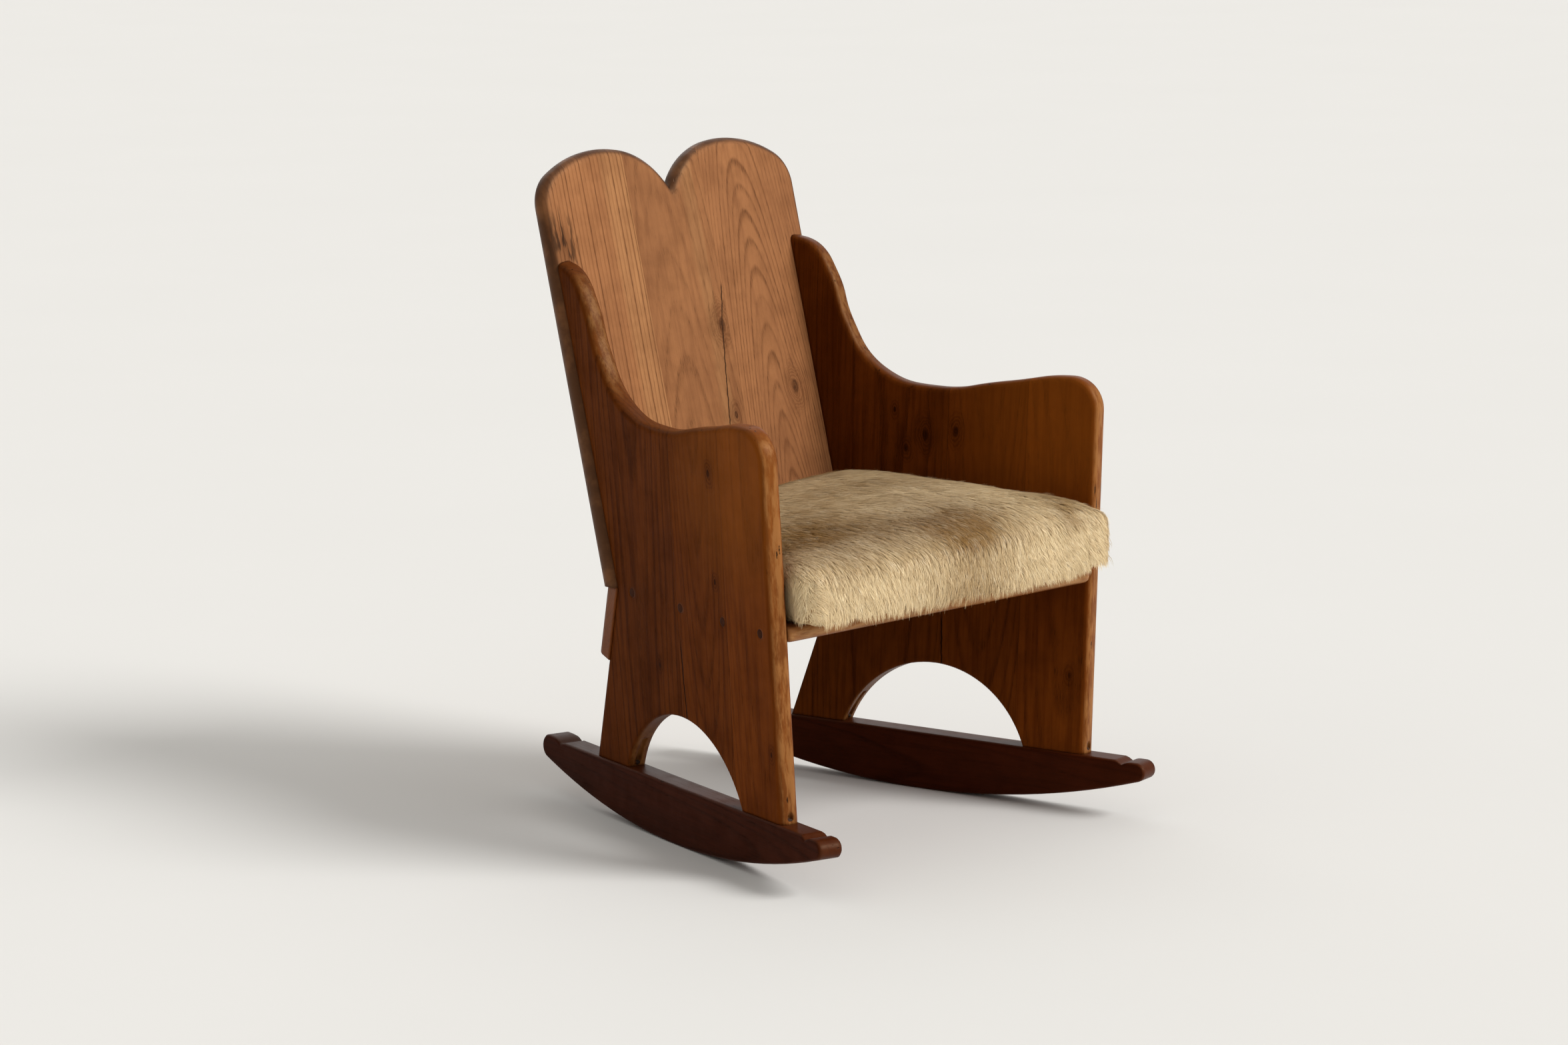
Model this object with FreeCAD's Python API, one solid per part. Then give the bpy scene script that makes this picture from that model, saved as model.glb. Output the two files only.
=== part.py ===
import FreeCAD, Part
import math
import os

# Plank-built rocking chair with a double-lobed back and a loose hide cushion.
# Lengths are millimetres, angles are degrees. +Z is up, -Y is the front of the
# chair, and +X is at the right of someone who faces the chair's front. The
# origin is on the floor, midway between the rockers and midway along them.

# Stance
front_width = 600.0            # over the side panels, at the foot of their front edges
toe_angle = 12.4               # each side turns in towards the rear
cant_angle = 3.5               # each side leans out towards the top
back_rake = 15.0               # the back board, from the vertical
foot_splay = 17.0              # rear edge of a side below the waist, from the vertical
overrun = 40.0                 # how far cutters and blanks run past a face
round_steps = 3                # bevels that make up each rounded board edge
matching_gap = 0.06            # edges and planes nearer than this count as one

# Rockers
rocker_length = 713.0
rocker_front_reach = 95.0      # from the side's front edge to the tip
rocker_height = 80.0           # floor to the flat top
rocker_thickness = 35.0
rocker_tip_rise = 55.6          # rise of the underside's sweep at half the length
rocker_balance = -3.0          # lowest point of the sweep, ahead of the middle
rocker_ease = 2.2              # bevelled long edges
front_knob_length = 35.0
front_knob_drop = 1.0          # knob top below the flat top
front_crown_length = 14.0      # rounded inner side of the knob
front_valley_depth = 6.0
rear_knob_length = 50.0
rear_knob_rise = 4.0           # knob top above the flat top
rear_crown_length = 24.0
rear_valley_depth = 3.0
valley_slope_length = 10.0     # from the flat top down into a valley

# Side panels, each glued up from three boards
panel_thickness = 27.0
panel_round = 8.0              # rounded front and arm edges
panel_ease = 2.0               # slightly broken edges elsewhere
waist_depth = 387.0            # front edge to the waist of the rear edge
waist_rise = 248.0             # rocker top to the waist
hump_height = 514.0            # top of the arm's front hump, above the rocker
dip_height = 483.0             # lowest point of the arm
ear_height = 682.0             # top of the ear that laps the back board
arm_nose_radius = 45.0
front_edge_lean = 3.0          # front edge set back at the arm
arch_span = 290.0
arch_rise = 98.0
arch_front_foot = 98.0         # length of the front foot on the rocker
front_seam = 110.0             # front edge to the first glue line
rear_seam = 235.0              # front edge to the second glue line
dip_depth_share = 0.56
hump_depth_share = 0.34
hump_rise_share = 0.5
# Swoop from the arm to the ear: depth as a share of the panel's depth at that
# height, height as a share of the rise from the dip to the ear.
swoop_shares = (
    (0.737, 0.05),
    (0.815, 0.165),
    (0.871, 0.43),
    (0.893, 0.71),
    (0.934, 0.91),
)
ear_runout_share = 1.04

# Back board, glued up from three boards
back_thickness = 25.0
back_length = 592.0            # waist to the top of the lobes
back_overhang = 5.0            # past the outer faces of the sides
shoulder_radius = 55.0
crest_radius = 185.0
notch_radius = 120.0           # inner side of each lobe, down into the notch
lobe_centre = 115.0            # from the middle line to a lobe's top
lobe_flat = 30.0               # from the lobe's top to where its inner side begins
back_front_round = 12.0
back_rear_round = 8.0
left_back_seam = 82.0          # glue lines, left and right of the middle line
right_back_seam = 58.0

# Lower back rail
rail_thickness = 22.0
rail_height = 110.0
rail_overhang = 1.5
rail_round = 4.0

# Seat boards
seat_thickness = 22.0
seat_nosing = 6.5              # ahead of the sides' front edges
seat_nose_round = 9.0
seat_corner_round = 14.0
seat_corner_share = 0.8        # of the corner round, from its centre out to the side's face
seat_front_board = 150.0
seat_middle_board = 140.0

# Pegs and nails
seat_peg_radius = 6.0
seat_peg_depth = 45.0          # into the seat
seat_peg_shares = (0.075, 0.31, 0.584, 0.905)
back_nail_shares = (0.1, 0.29, 0.48, 0.66)
rail_nail_shares = (0.27, 0.73)
nail_width = 3.2
nail_length = 55.0
nail_head_width = 5.5
nail_head_thickness = 1.5
nail_pocket_radius = 4.5
nail_set = 4.0                 # head below the surface
nail_slant = 55.0              # below the level
nail_rise = 9.0                # start above the rocker

# Cushion
cushion_overhang = 37.0        # ahead of the seat's front edge
cushion_edge_height = 80.0     # seat to the top edge
cushion_crown = 22.0           # rise of the middle above the top edge
cushion_front_fall = 12.0      # front lower than the rear
cushion_draw_in = 5.0          # sides pulled in between the corners, in plan
cushion_corner_radius = 24.0
cushion_edge_round = 14.0
cushion_clearance = 0.6
cushion_seat_clearance = 0.3
hide_thickness = 4.0           # hide and its backing
base_cloth_thickness = 2.0
cushion_turn_share = 0.2       # of the edge height, where the sides turn in above and below
cushion_waist_share = 0.12     # sides pulled in at mid height, of the edge round
cushion_height_shares = (0.2, 0.5, 0.8, 0.93)
cushion_crown_shares = (0.0, 0.3, 0.65, 1.0)
cushion_top_share = 0.8        # inset of the last crown section, of the half depth

toe = math.radians(toe_angle)
cant = math.radians(cant_angle)
rake = math.radians(back_rake)
splay = math.radians(foot_splay)

# The underside's sweep, a circular arc.
rocker_radius = (rocker_length ** 2 / 4 + rocker_tip_rise ** 2) / (2 * rocker_tip_rise)

# Where the right side stands: its front foot's outer corner on the rocker.
foot_x = front_width / 2
foot_y = (rocker_front_reach - rocker_length / 2) * math.cos(toe) + panel_thickness / 2 * math.sin(toe)
foot_z = rocker_height
waist_z = foot_z + waist_rise
waist_up = waist_rise / math.cos(cant)
waist_y = foot_y + waist_depth * math.cos(toe) + waist_up * math.sin(cant) * math.sin(toe)
waist_x = foot_x - waist_depth * math.sin(toe) + waist_up * math.sin(cant) * math.cos(toe)
seat_top = waist_z + seat_thickness / 2
seat_front_y = foot_y + waist_up * math.sin(cant) * math.sin(toe) - seat_nosing
chair_span = front_width + rocker_length + back_length
origin = FreeCAD.Vector(0, 0, 0)
along_x = FreeCAD.Vector(1, 0, 0)
along_y = FreeCAD.Vector(0, 1, 0)
along_z = FreeCAD.Vector(0, 0, 1)


def stand_side(shape, cant_degrees=cant_angle):
    """Take a shape from a side's own flat frame to the right side of the chair."""
    placed = shape.copy()
    placed.rotate(origin, along_x, -cant_degrees)
    placed.rotate(origin, along_z, toe_angle - 90)
    placed.translate(FreeCAD.Vector(foot_x, foot_y, foot_z))
    return placed


def mirrored(shape):
    return shape.mirror(origin, along_x)


def flat_point(run, height):
    """A point of a board's outline, drawn flat: on a side, run is forward and height up."""
    return FreeCAD.Vector(run, 0, height)


def rear_run(height):
    """Distance from the front edge's foot back to the rear edge, on the outer face."""
    z = foot_z + height * math.cos(cant)
    if z > waist_z:
        y = waist_y + (z - waist_z) * math.tan(rake)
    else:
        y = waist_y + (waist_z - z) * math.tan(splay)
    return (y - foot_y - height * math.sin(cant) * math.sin(toe)) / math.cos(toe)


def inner_face_x(y, z):
    """Where the right side's inner face stands at a given depth and height."""
    lean = math.sin(cant) * (z - foot_z) - math.cos(cant) * math.sin(toe) * (y - foot_y)
    return foot_x + (lean - panel_thickness) / (math.cos(cant) * math.cos(toe))


def side_slab(inner_offset, outer_offset):
    """A wide slab parallel to the right side, between two offsets from its outer face."""
    box = Part.makeBox(2 * chair_span, outer_offset - inner_offset, 2 * chair_span)
    box.translate(FreeCAD.Vector(-chair_span, inner_offset, -chair_span))
    return stand_side(box)


def corner_arc(corner, towards_start, towards_end, radius):
    """The arc that rounds a corner, as its start, middle and end."""
    start_way = (towards_start - corner).normalize()
    end_way = (towards_end - corner).normalize()
    half_angle = start_way.getAngle(end_way) / 2
    tangent = radius / math.tan(half_angle)
    bisector = (start_way + end_way).normalize()
    middle = corner + bisector * (radius / math.sin(half_angle) - radius)
    return corner + start_way * tangent, middle, corner + end_way * tangent


def line(start, end):
    return Part.LineSegment(start, end).toShape()


def drawn(edge):
    """The shape of a line, given as two points, or of an arc, given as three."""
    if len(edge) == 2:
        return line(*edge)
    return Part.Arc(*edge).toShape()


def tangent_arc(start, way, end):
    """The arc that leaves a point in a given direction and ends at another point."""
    chord = end - start
    along = FreeCAD.Vector(chord).normalize()
    aside = (way - along * way.dot(along)).normalize()
    sagitta = chord.Length / 2 * math.tan(way.getAngle(chord) / 2)
    return start, (start + end) / 2 + aside * sagitta, end


def biarc(start, start_way, end, end_way):
    """Two arcs, tangent where they meet, between two points with given directions."""
    chord = end - start
    ways = start_way + end_way
    spread = 1 - start_way.dot(end_way)
    lead = chord.dot(ways)
    reach = chord.dot(chord) / (lead + math.sqrt(lead ** 2 + 2 * spread * chord.dot(chord)))
    middle = (start + start_way * reach + end - end_way * reach) / 2
    finish, far_middle, near = tangent_arc(end, end_way * -1, middle)
    return [tangent_arc(start, start_way, middle), (near, far_middle, finish)]


def smooth_curve(points, start_way, end_way):
    """A curve of tangent arcs through points, which leaves and arrives in given directions."""
    ways = [FreeCAD.Vector(start_way).normalize()]
    for before, point, after in zip(points, points[1:], points[2:]):
        behind = point - before
        ahead = after - point
        turned = behind * (1 / behind.dot(behind)) + ahead * (1 / ahead.dot(ahead))
        ways.append(turned.normalize())
    ways.append(FreeCAD.Vector(end_way).normalize())
    arcs = []
    for index in range(len(points) - 1):
        arcs += biarc(points[index], ways[index], points[index + 1], ways[index + 1])
    return arcs


def inset_edge(edge, inset):
    """An outline's line or arc, moved in towards the side that lies left of its direction."""
    start, end = edge[0], edge[-1]
    chord = end - start
    left = FreeCAD.Vector(-chord.z, 0, chord.x).normalize()
    if len(edge) == 2:
        return start + left * inset, end + left * inset
    circle = drawn(edge).Curve
    centre = circle.Center
    if left.dot(centre - edge[1]) > 0:
        scale = 1 - inset / circle.Radius
    else:
        scale = 1 + inset / circle.Radius
    return [centre + (point - centre) * scale for point in edge]


def rounded_board(free_edges, closing_points, thickness, front_round, rear_round):
    """A board from y zero to its thickness, whose free edges are rounded on both faces."""
    levels = []
    for step in range(round_steps + 1):
        angle = math.pi / 2 * step / round_steps
        levels.append((front_round * (1 - math.cos(angle)), front_round * (1 - math.sin(angle))))
    for step in range(round_steps + 1):
        angle = math.pi / 2 * step / round_steps
        depth = thickness - rear_round * (1 - math.sin(angle))
        levels.append((depth, rear_round * (1 - math.cos(angle))))
    sections = []
    for depth, inset in levels:
        edges = [inset_edge(edge, inset) for edge in free_edges]
        turns = [edges[-1][-1]] + closing_points + [edges[0][0]]
        edges += list(zip(turns, turns[1:]))
        section = Part.Wire([drawn(edge) for edge in edges])
        section.translate(along_y * depth)
        sections.append(section)
    return Part.makeLoft(sections, True, True)


def chosen_edges(shape, is_wanted):
    return [edge for edge in shape.Edges if is_wanted(edge)]


def edge_ends(edge):
    return [vertex.Point for vertex in edge.Vertexes]


def in_front_of_back(shape):
    """Keep what lies ahead of the back board's and the lower rail's front planes."""
    top = FreeCAD.Vector(0, waist_y + chair_span * math.tan(rake), waist_z + chair_span)
    waist = FreeCAD.Vector(0, waist_y, waist_z)
    bottom = FreeCAD.Vector(0, waist_y + chair_span * math.tan(splay), waist_z - chair_span)
    front = -2 * chair_span
    corners = [top, waist, bottom,
               FreeCAD.Vector(0, front, waist_z - chair_span),
               FreeCAD.Vector(0, front, waist_z + chair_span), top]
    keep = Part.Face(Part.makePolygon(corners)).extrude(along_x * (2 * chair_span))
    keep.translate(along_x * -chair_span)
    return shape.common(keep)


def level_slab(low, high):
    slab = Part.makeBox(2 * chair_span, 2 * chair_span, high - low)
    slab.translate(FreeCAD.Vector(-chair_span, -chair_span, low))
    return slab


def single(shape):
    """The one solid that a boolean leaves."""
    solid, = shape.Solids
    return solid


# Side panels

def arm_edges():
    """The panel's free edge: up the front, round the arm's nose, along to the ear."""
    foot = flat_point(0, -overrun)
    corner = flat_point(-front_edge_lean, hump_height)
    behind = flat_point(-rear_run(hump_height), hump_height)
    nose = corner_arc(corner, foot, behind, arm_nose_radius)
    arm_rise = ear_height - dip_height
    points = [nose[-1]]
    easing_height = dip_height + hump_rise_share * (hump_height - dip_height)
    points.append(flat_point(-hump_depth_share * rear_run(easing_height), easing_height))
    points.append(flat_point(-dip_depth_share * rear_run(dip_height), dip_height))
    for depth_share, rise_share in swoop_shares:
        height = dip_height + rise_share * arm_rise
        points.append(flat_point(-depth_share * rear_run(height), height))
    points.append(flat_point(-ear_runout_share * rear_run(ear_height), ear_height))
    arm = smooth_curve(points, behind - corner, points[-1] - points[-2])
    return [(foot, nose[0]), nose] + arm


def panel_blank():
    """One side in its own flat frame, before its ends are trimmed to the chair."""
    free_edges = arm_edges()
    rear_foot = flat_point(free_edges[-1][-1].x, -overrun)
    board = rounded_board(free_edges, [rear_foot], panel_thickness, panel_round, panel_round)
    board.translate(along_y * -panel_thickness)
    return board.cut(arch_cutter())


def arch_radius():
    return (arch_span ** 2 / 4 + arch_rise ** 2) / (2 * arch_rise)


def arch_centre():
    return flat_point(-arch_front_foot - arch_span / 2, arch_rise - arch_radius())


def arch_cutter():
    """The segmental arch between the feet, with broken edges on both faces."""
    centre = arch_centre()
    start = FreeCAD.Vector(centre.x, -panel_thickness - overrun, centre.z)
    bore = Part.makeCylinder(arch_radius(), panel_thickness + 2 * overrun, start, along_y)
    inner_mouth = Part.makeCone(arch_radius() + panel_ease, arch_radius(), panel_ease,
                                FreeCAD.Vector(centre.x, -panel_thickness, centre.z), along_y)
    outer_mouth = Part.makeCone(arch_radius(), arch_radius() + panel_ease, panel_ease,
                                FreeCAD.Vector(centre.x, -panel_ease, centre.z), along_y)
    return bore.fuse([inner_mouth, outer_mouth])


def side_boards():
    """The right side's three boards, trimmed to the rocker and the back."""
    blank = panel_blank()
    cuts = (-chair_span, -rear_seam, -front_seam, chair_span)
    boards = []
    for rear, front in zip(cuts, cuts[1:]):
        strip = Part.makeBox(front - rear, panel_thickness + 2 * overrun, 2 * chair_span)
        strip.translate(FreeCAD.Vector(rear, -panel_thickness - overrun, -chair_span))
        board = stand_side(blank.common(strip))
        board = in_front_of_back(board).common(level_slab(foot_z, foot_z + chair_span))
        boards.append(single(board))
    return boards


# Rockers

def rocker_lowest_run():
    return rocker_front_reach - rocker_length / 2 + rocker_balance


def sweep_centre():
    return flat_point(rocker_lowest_run(), rocker_radius - rocker_height)


def rocker_end(tip, inward, knob_level):
    """The full round of a rocker's end: tangent to the sweep below and the knob above."""
    centre = sweep_centre()
    reach = abs(tip - centre.x)
    drop = centre.z - knob_level
    half = drop - reach + rocker_radius
    nose_radius = math.sqrt(half ** 2 - reach ** 2 - drop ** 2 + rocker_radius ** 2) - half
    nose_centre = flat_point(tip + inward * nose_radius, knob_level - nose_radius)
    underside = centre + (nose_centre - centre).normalize() * rocker_radius
    top = nose_centre + along_z * nose_radius
    middle_way = (along_x * -inward + (underside - nose_centre).normalize()).normalize()
    nose = Part.Arc(underside, nose_centre + middle_way * nose_radius, top)
    return nose.toShape(), underside, top


def rocker_blank():
    front_tip = rocker_front_reach
    rear_tip = rocker_front_reach - rocker_length
    front_nose, front_under, front_top = rocker_end(front_tip, -1, -front_knob_drop)
    rear_nose, rear_under, rear_top = rocker_end(rear_tip, 1, rear_knob_rise)
    lowest = sweep_centre() - along_z * rocker_radius
    front_knob_end = flat_point(front_tip - front_knob_length, front_top.z)
    rear_knob_end = flat_point(rear_tip + rear_knob_length, rear_top.z)
    front_raised = front_knob_end + along_z * rocker_thickness
    rear_raised = rear_knob_end + along_z * rocker_thickness
    outline = Part.Wire([
        Part.Arc(rear_under, lowest, front_under).toShape(),
        front_nose,
        line(front_top, front_knob_end),
        line(front_knob_end, front_raised),
        line(front_raised, rear_raised),
        line(rear_raised, rear_knob_end),
        line(rear_knob_end, rear_top),
        rear_nose,
    ])
    blank = Part.Face(outline).extrude(along_y * rocker_thickness)
    blank.translate(along_y * (-panel_thickness / 2 - rocker_thickness / 2))
    return blank


def is_rocker_arris(edge):
    """True along the sweep, the noses and the knobs of a rocker blank, on either face."""
    ends = edge_ends(edge)
    same_face = abs(ends[0].y - ends[-1].y) < rocker_thickness / 2
    return same_face and max(point.z for point in ends) < rear_knob_rise + rocker_ease


def is_flat_arris(edge):
    """True for the two long edges of a rocker's flat top."""
    ends = edge_ends(edge)
    level = all(abs(point.z) < matching_gap for point in ends)
    return level and edge.Length > rocker_length / 2


def knob_side(valley, knob_level, inward, crown_length):
    """The rounded inner side of a knob, from its top down into the valley."""
    top = flat_point(valley.x - inward * crown_length, knob_level)
    drop = knob_level - valley.z
    radius = (crown_length ** 2 + drop ** 2) / (2 * drop)
    centre = top - along_z * radius
    middle_way = ((top - centre).normalize() + (valley - centre).normalize()).normalize()
    return Part.Arc(valley, centre + middle_way * radius, top).toShape(), top


def rocker():
    """The right rocker: sweep, rounded ends, and the flat between the two knobs."""
    blank = rocker_blank()
    blank = blank.makeChamfer(rocker_ease, chosen_edges(blank, is_rocker_arris))
    front_valley = flat_point(rocker_front_reach - front_knob_length, -front_valley_depth)
    rear_valley = flat_point(rocker_front_reach - rocker_length + rear_knob_length, -rear_valley_depth)
    front_side, front_top = knob_side(front_valley, -front_knob_drop, -1, front_crown_length)
    rear_side, rear_top = knob_side(rear_valley, rear_knob_rise, 1, rear_crown_length)
    front_flat = flat_point(front_valley.x - valley_slope_length, 0)
    rear_flat = flat_point(rear_valley.x + valley_slope_length, 0)
    front_above = front_top + along_z * overrun
    rear_above = flat_point(rear_top.x, front_above.z)
    outline = Part.Wire([
        line(front_flat, front_valley),
        front_side,
        line(front_top, front_above),
        line(front_above, rear_above),
        line(rear_above, rear_top),
        rear_side,
        line(rear_valley, rear_flat),
        line(rear_flat, front_flat),
    ])
    relief_width = rocker_thickness + 2 * overrun
    relief = Part.Face(outline).extrude(along_y * relief_width)
    relief.translate(along_y * (-panel_thickness / 2 - relief_width / 2))
    carved = single(blank.cut(relief))
    carved = carved.makeChamfer(rocker_ease, chosen_edges(carved, is_flat_arris))
    return stand_side(single(carved), 0)


# Back board and lower rail

def lobe_outline(half_width):
    """One half of the back board, flat, x across and z up from the waist."""
    crest = FreeCAD.Vector(lobe_centre, 0, back_length - crest_radius)
    shoulder_x = half_width - shoulder_radius
    reach = crest_radius - shoulder_radius
    shoulder = FreeCAD.Vector(shoulder_x, 0,
                              crest.z + math.sqrt(reach ** 2 - (shoulder_x - crest.x) ** 2))
    outer_way = (shoulder - crest).normalize()
    inner_way = FreeCAD.Vector(-lobe_flat, 0, math.sqrt(crest_radius ** 2 - lobe_flat ** 2)).normalize()
    inner = crest + inner_way * (crest_radius - notch_radius)
    side_top = FreeCAD.Vector(half_width, 0, shoulder.z)
    crest_start = crest + outer_way * crest_radius
    crest_end = crest + inner_way * crest_radius
    past_middle = FreeCAD.Vector(-back_front_round, 0, inner.z + math.sqrt(
        notch_radius ** 2 - (inner.x + back_front_round) ** 2))
    shoulder_way = (outer_way + along_x).normalize()
    notch_way = ((past_middle - inner).normalize() + inner_way).normalize()
    side_foot = FreeCAD.Vector(half_width, 0, -overrun)
    middle_foot = FreeCAD.Vector(past_middle.x, 0, -overrun)
    free_edges = [
        (side_foot, side_top),
        (side_top, shoulder + shoulder_way * shoulder_radius, crest_start),
        (crest_start, crest + along_z * crest_radius, crest_end),
        (crest_end, inner + notch_way * notch_radius, past_middle),
    ]
    return free_edges, middle_foot


def back_half():
    """The right half of the back board, raked and cut level at the waist."""
    free_edges, middle_foot = lobe_outline(waist_x + back_overhang)
    half = rounded_board(free_edges, [middle_foot], back_thickness, back_front_round, back_rear_round)
    half = half.common(strip_across(0, chair_span))
    half.rotate(origin, along_x, -back_rake)
    half.translate(FreeCAD.Vector(0, waist_y, waist_z))
    return single(half.common(level_slab(waist_z, waist_z + chair_span)))


def strip_across(left, right):
    strip = Part.makeBox(right - left, 2 * chair_span, 2 * chair_span)
    strip.translate(FreeCAD.Vector(left, -chair_span, -chair_span))
    return strip


def back_boards():
    right_half = back_half()
    left_half = mirrored(right_half)
    left_board = left_half.common(strip_across(-chair_span, -left_back_seam))
    middle_left = left_half.common(strip_across(-left_back_seam, 0))
    middle_right = right_half.common(strip_across(0, right_back_seam))
    right_board = right_half.common(strip_across(right_back_seam, chair_span))
    middle_board = middle_left.fuse(middle_right).removeSplitter()
    return [single(left_board), single(middle_board), single(right_board)]


def lower_rail():
    """The board across the sides' rear edges below the waist."""
    half_width = waist_x + rail_overhang
    board = Part.makeBox(2 * half_width, rail_thickness, rail_height + overrun)
    board.translate(FreeCAD.Vector(-half_width, 0, -rail_height))
    bottom = chosen_edges(board, lambda edge: max(p.z for p in edge_ends(edge)) < -rail_height / 2
                          and min(p.y for p in edge_ends(edge)) > rail_thickness / 2)
    board = board.makeFillet(rail_round, bottom)
    board.rotate(origin, along_x, foot_splay)
    board.translate(FreeCAD.Vector(0, waist_y, waist_z))
    board = board.common(level_slab(waist_z - chair_span, waist_z))
    outside = side_slab(rail_overhang, chair_span)
    return single(board.cut([outside, mirrored(outside)]))


# Seat

def seat_slab():
    """The whole seat between the sides, with its nosing and its two rounded front corners."""
    turn_x = inner_face_x(seat_front_y, seat_top) - seat_corner_share * seat_corner_round
    side_x = turn_x + seat_corner_round
    front = -seat_front_y
    rear = -waist_y - overrun
    right_corner = flat_point(side_x, front)
    left_corner = flat_point(-side_x, front)
    right_rear = flat_point(side_x, rear)
    left_rear = flat_point(-side_x, rear)
    right_arc = corner_arc(right_corner, right_rear, left_corner, seat_corner_round)
    left_arc = corner_arc(left_corner, right_corner, left_rear, seat_corner_round)
    free_edges = [
        (right_rear, right_arc[0]),
        right_arc,
        (right_arc[-1], left_arc[0]),
        left_arc,
        (left_arc[-1], left_rear),
    ]
    slab = rounded_board(free_edges, [], seat_thickness, seat_nose_round, seat_nose_round)
    slab.rotate(origin, along_x, 90)
    slab.translate(along_z * (seat_top - seat_thickness))
    outside = side_slab(-panel_thickness, chair_span)
    return single(in_front_of_back(slab.cut([outside, mirrored(outside)])))


def seat_boards():
    slab = seat_slab()
    first_seam = seat_front_y + seat_front_board
    second_seam = first_seam + seat_middle_board
    cuts = (-chair_span, first_seam, second_seam, chair_span)
    boards = []
    for front, rear in zip(cuts, cuts[1:]):
        strip = Part.makeBox(2 * chair_span, rear - front, 2 * chair_span)
        strip.translate(FreeCAD.Vector(-chair_span, front, -chair_span))
        boards.append(single(slab.common(strip)))
    return boards


# Pegs and nails of the right side

def side_point(run, inward, height):
    """A point of the right side, from its own flat frame."""
    point = Part.Vertex(FreeCAD.Vector(run, -inward, height))
    return stand_side(point).Point


def seat_pegs():
    """Level pegs through the side into the ends of the seat boards."""
    inward = FreeCAD.Vector(-math.cos(toe), -math.sin(toe), 0)
    pegs = []
    for share in seat_peg_shares:
        start = side_point(-share * waist_depth, 0, waist_up) - inward * overrun
        peg = Part.makeCylinder(seat_peg_radius, overrun + panel_thickness + seat_peg_depth, start, inward)
        pegs.append(single(peg.cut(side_slab(0, chair_span))))
    return pegs


def cut_nail(head_top, way):
    """A square nail that starts at its head's top and runs along its way."""
    across = along_x.cross(way) if abs(way.x) < abs(way.y) else along_y
    aside = way.cross(across)

    def square_bar(width, length):
        half_across = across * (width / 2)
        half_aside = aside * (width / 2)
        corners = [head_top + half_across + half_aside, head_top - half_across + half_aside,
                   head_top - half_across - half_aside, head_top + half_across - half_aside]
        return Part.Face(Part.makePolygon(corners + corners[:1])).extrude(way * length)

    head = square_bar(nail_head_width, nail_head_thickness)
    return single(head.fuse(square_bar(nail_width, nail_length)))


def rear_nails(shares, slope_length, slope, board_thickness, lift):
    """Nails square through a board behind the side, into the side's rear edge."""
    nails = []
    for share in shares:
        along = share * slope_length * lift
        z = waist_z + along * math.cos(slope)
        y = waist_y + abs(along) * math.sin(slope)
        way = FreeCAD.Vector(0, -math.cos(slope), lift * math.sin(slope))
        middle = FreeCAD.Vector(0, y, z) + way * ((nail_length - board_thickness) / 2)
        x = inner_face_x(middle.y, middle.z) + panel_thickness / (2 * math.cos(toe))
        nails.append(cut_nail(FreeCAD.Vector(x, y, z) - way * board_thickness, way))
    return nails


def foot_nail(run, heading):
    """A slanting nail at a foot's edge, and the round pocket that its head is set in."""
    slant = math.radians(nail_slant)
    way = FreeCAD.Vector(heading * math.cos(slant), 0, -math.sin(slant))
    head_top = FreeCAD.Vector(run, -panel_thickness / 2, nail_rise) + way * nail_set
    pocket = Part.makeCylinder(nail_pocket_radius, nail_set + overrun, head_top, way * -1)
    return stand_side(cut_nail(head_top, way)), stand_side(pocket)


def foot_nails():
    half_width = math.sqrt(arch_radius() ** 2 - (nail_rise - arch_centre().z) ** 2)
    centre = arch_centre().x
    places = (
        (0, -1),
        (centre + half_width, 1),
        (centre - half_width, -1),
        (-rear_run(nail_rise), 1),
    )
    return [foot_nail(run, heading) for run, heading in places]


# Cushion

def cushion_plan(inset, draw_in, base, front_z, rear_z):
    """A rounded four-sided section, its sides drawn in, tilted from front to rear."""
    widest_front_y = seat_front_y - cushion_overhang
    front_y = widest_front_y + inset

    def height(y):
        return front_z + (rear_z - front_z) * (y - widest_front_y) / (waist_y - widest_front_y)

    rear_y = waist_y + (base - waist_z) * math.tan(rake) - cushion_clearance / math.cos(rake) - inset
    front_x = inner_face_x(front_y, base) - cushion_clearance - inset
    rear_x = inner_face_x(rear_y, base) - cushion_clearance - inset
    corners = [
        FreeCAD.Vector(-front_x, front_y, height(front_y)),
        FreeCAD.Vector(front_x, front_y, height(front_y)),
        FreeCAD.Vector(rear_x, rear_y, height(rear_y)),
        FreeCAD.Vector(-rear_x, rear_y, height(rear_y)),
    ]
    middle_y = (front_y + rear_y) / 2
    middle = FreeCAD.Vector(0, middle_y, height(middle_y))
    arcs = []
    for index, corner in enumerate(corners):
        before = corners[index - 1]
        after = corners[(index + 1) % len(corners)]
        arcs.append(corner_arc(corner, before, after, cushion_corner_radius))
    edges = []
    for index, arc in enumerate(arcs):
        end = arc[-1]
        next_start = arcs[(index + 1) % len(arcs)][0]
        centre = (end + next_start) / 2
        drawn_middle = centre + (middle - centre).normalize() * draw_in
        edges.append(arc)
        edges.append((end, drawn_middle, next_start) if draw_in else (end, next_start))
    return edges


def skinned_solid(sections):
    """A solid skinned straight from each section to the next, edge for edge."""
    faces = [Part.Face(Part.Wire([drawn(edge) for edge in section]))
             for section in (sections[0], sections[-1])]
    for lower, upper in zip(sections, sections[1:]):
        for low, high in zip(lower, upper):
            if len(low) == 2 and len(high) == 2:
                outline = Part.makePolygon([low[0], low[1], high[1], high[0], low[0]])
                faces.append(Part.Face(outline))
            else:
                faces.append(Part.makeRuledSurface(drawn(low), drawn(high)))
    shell = Part.makeShell(faces)
    shell.sewShape()
    solid = Part.Solid(shell)
    if solid.Volume < 0:
        solid.reverse()
    return solid


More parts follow.
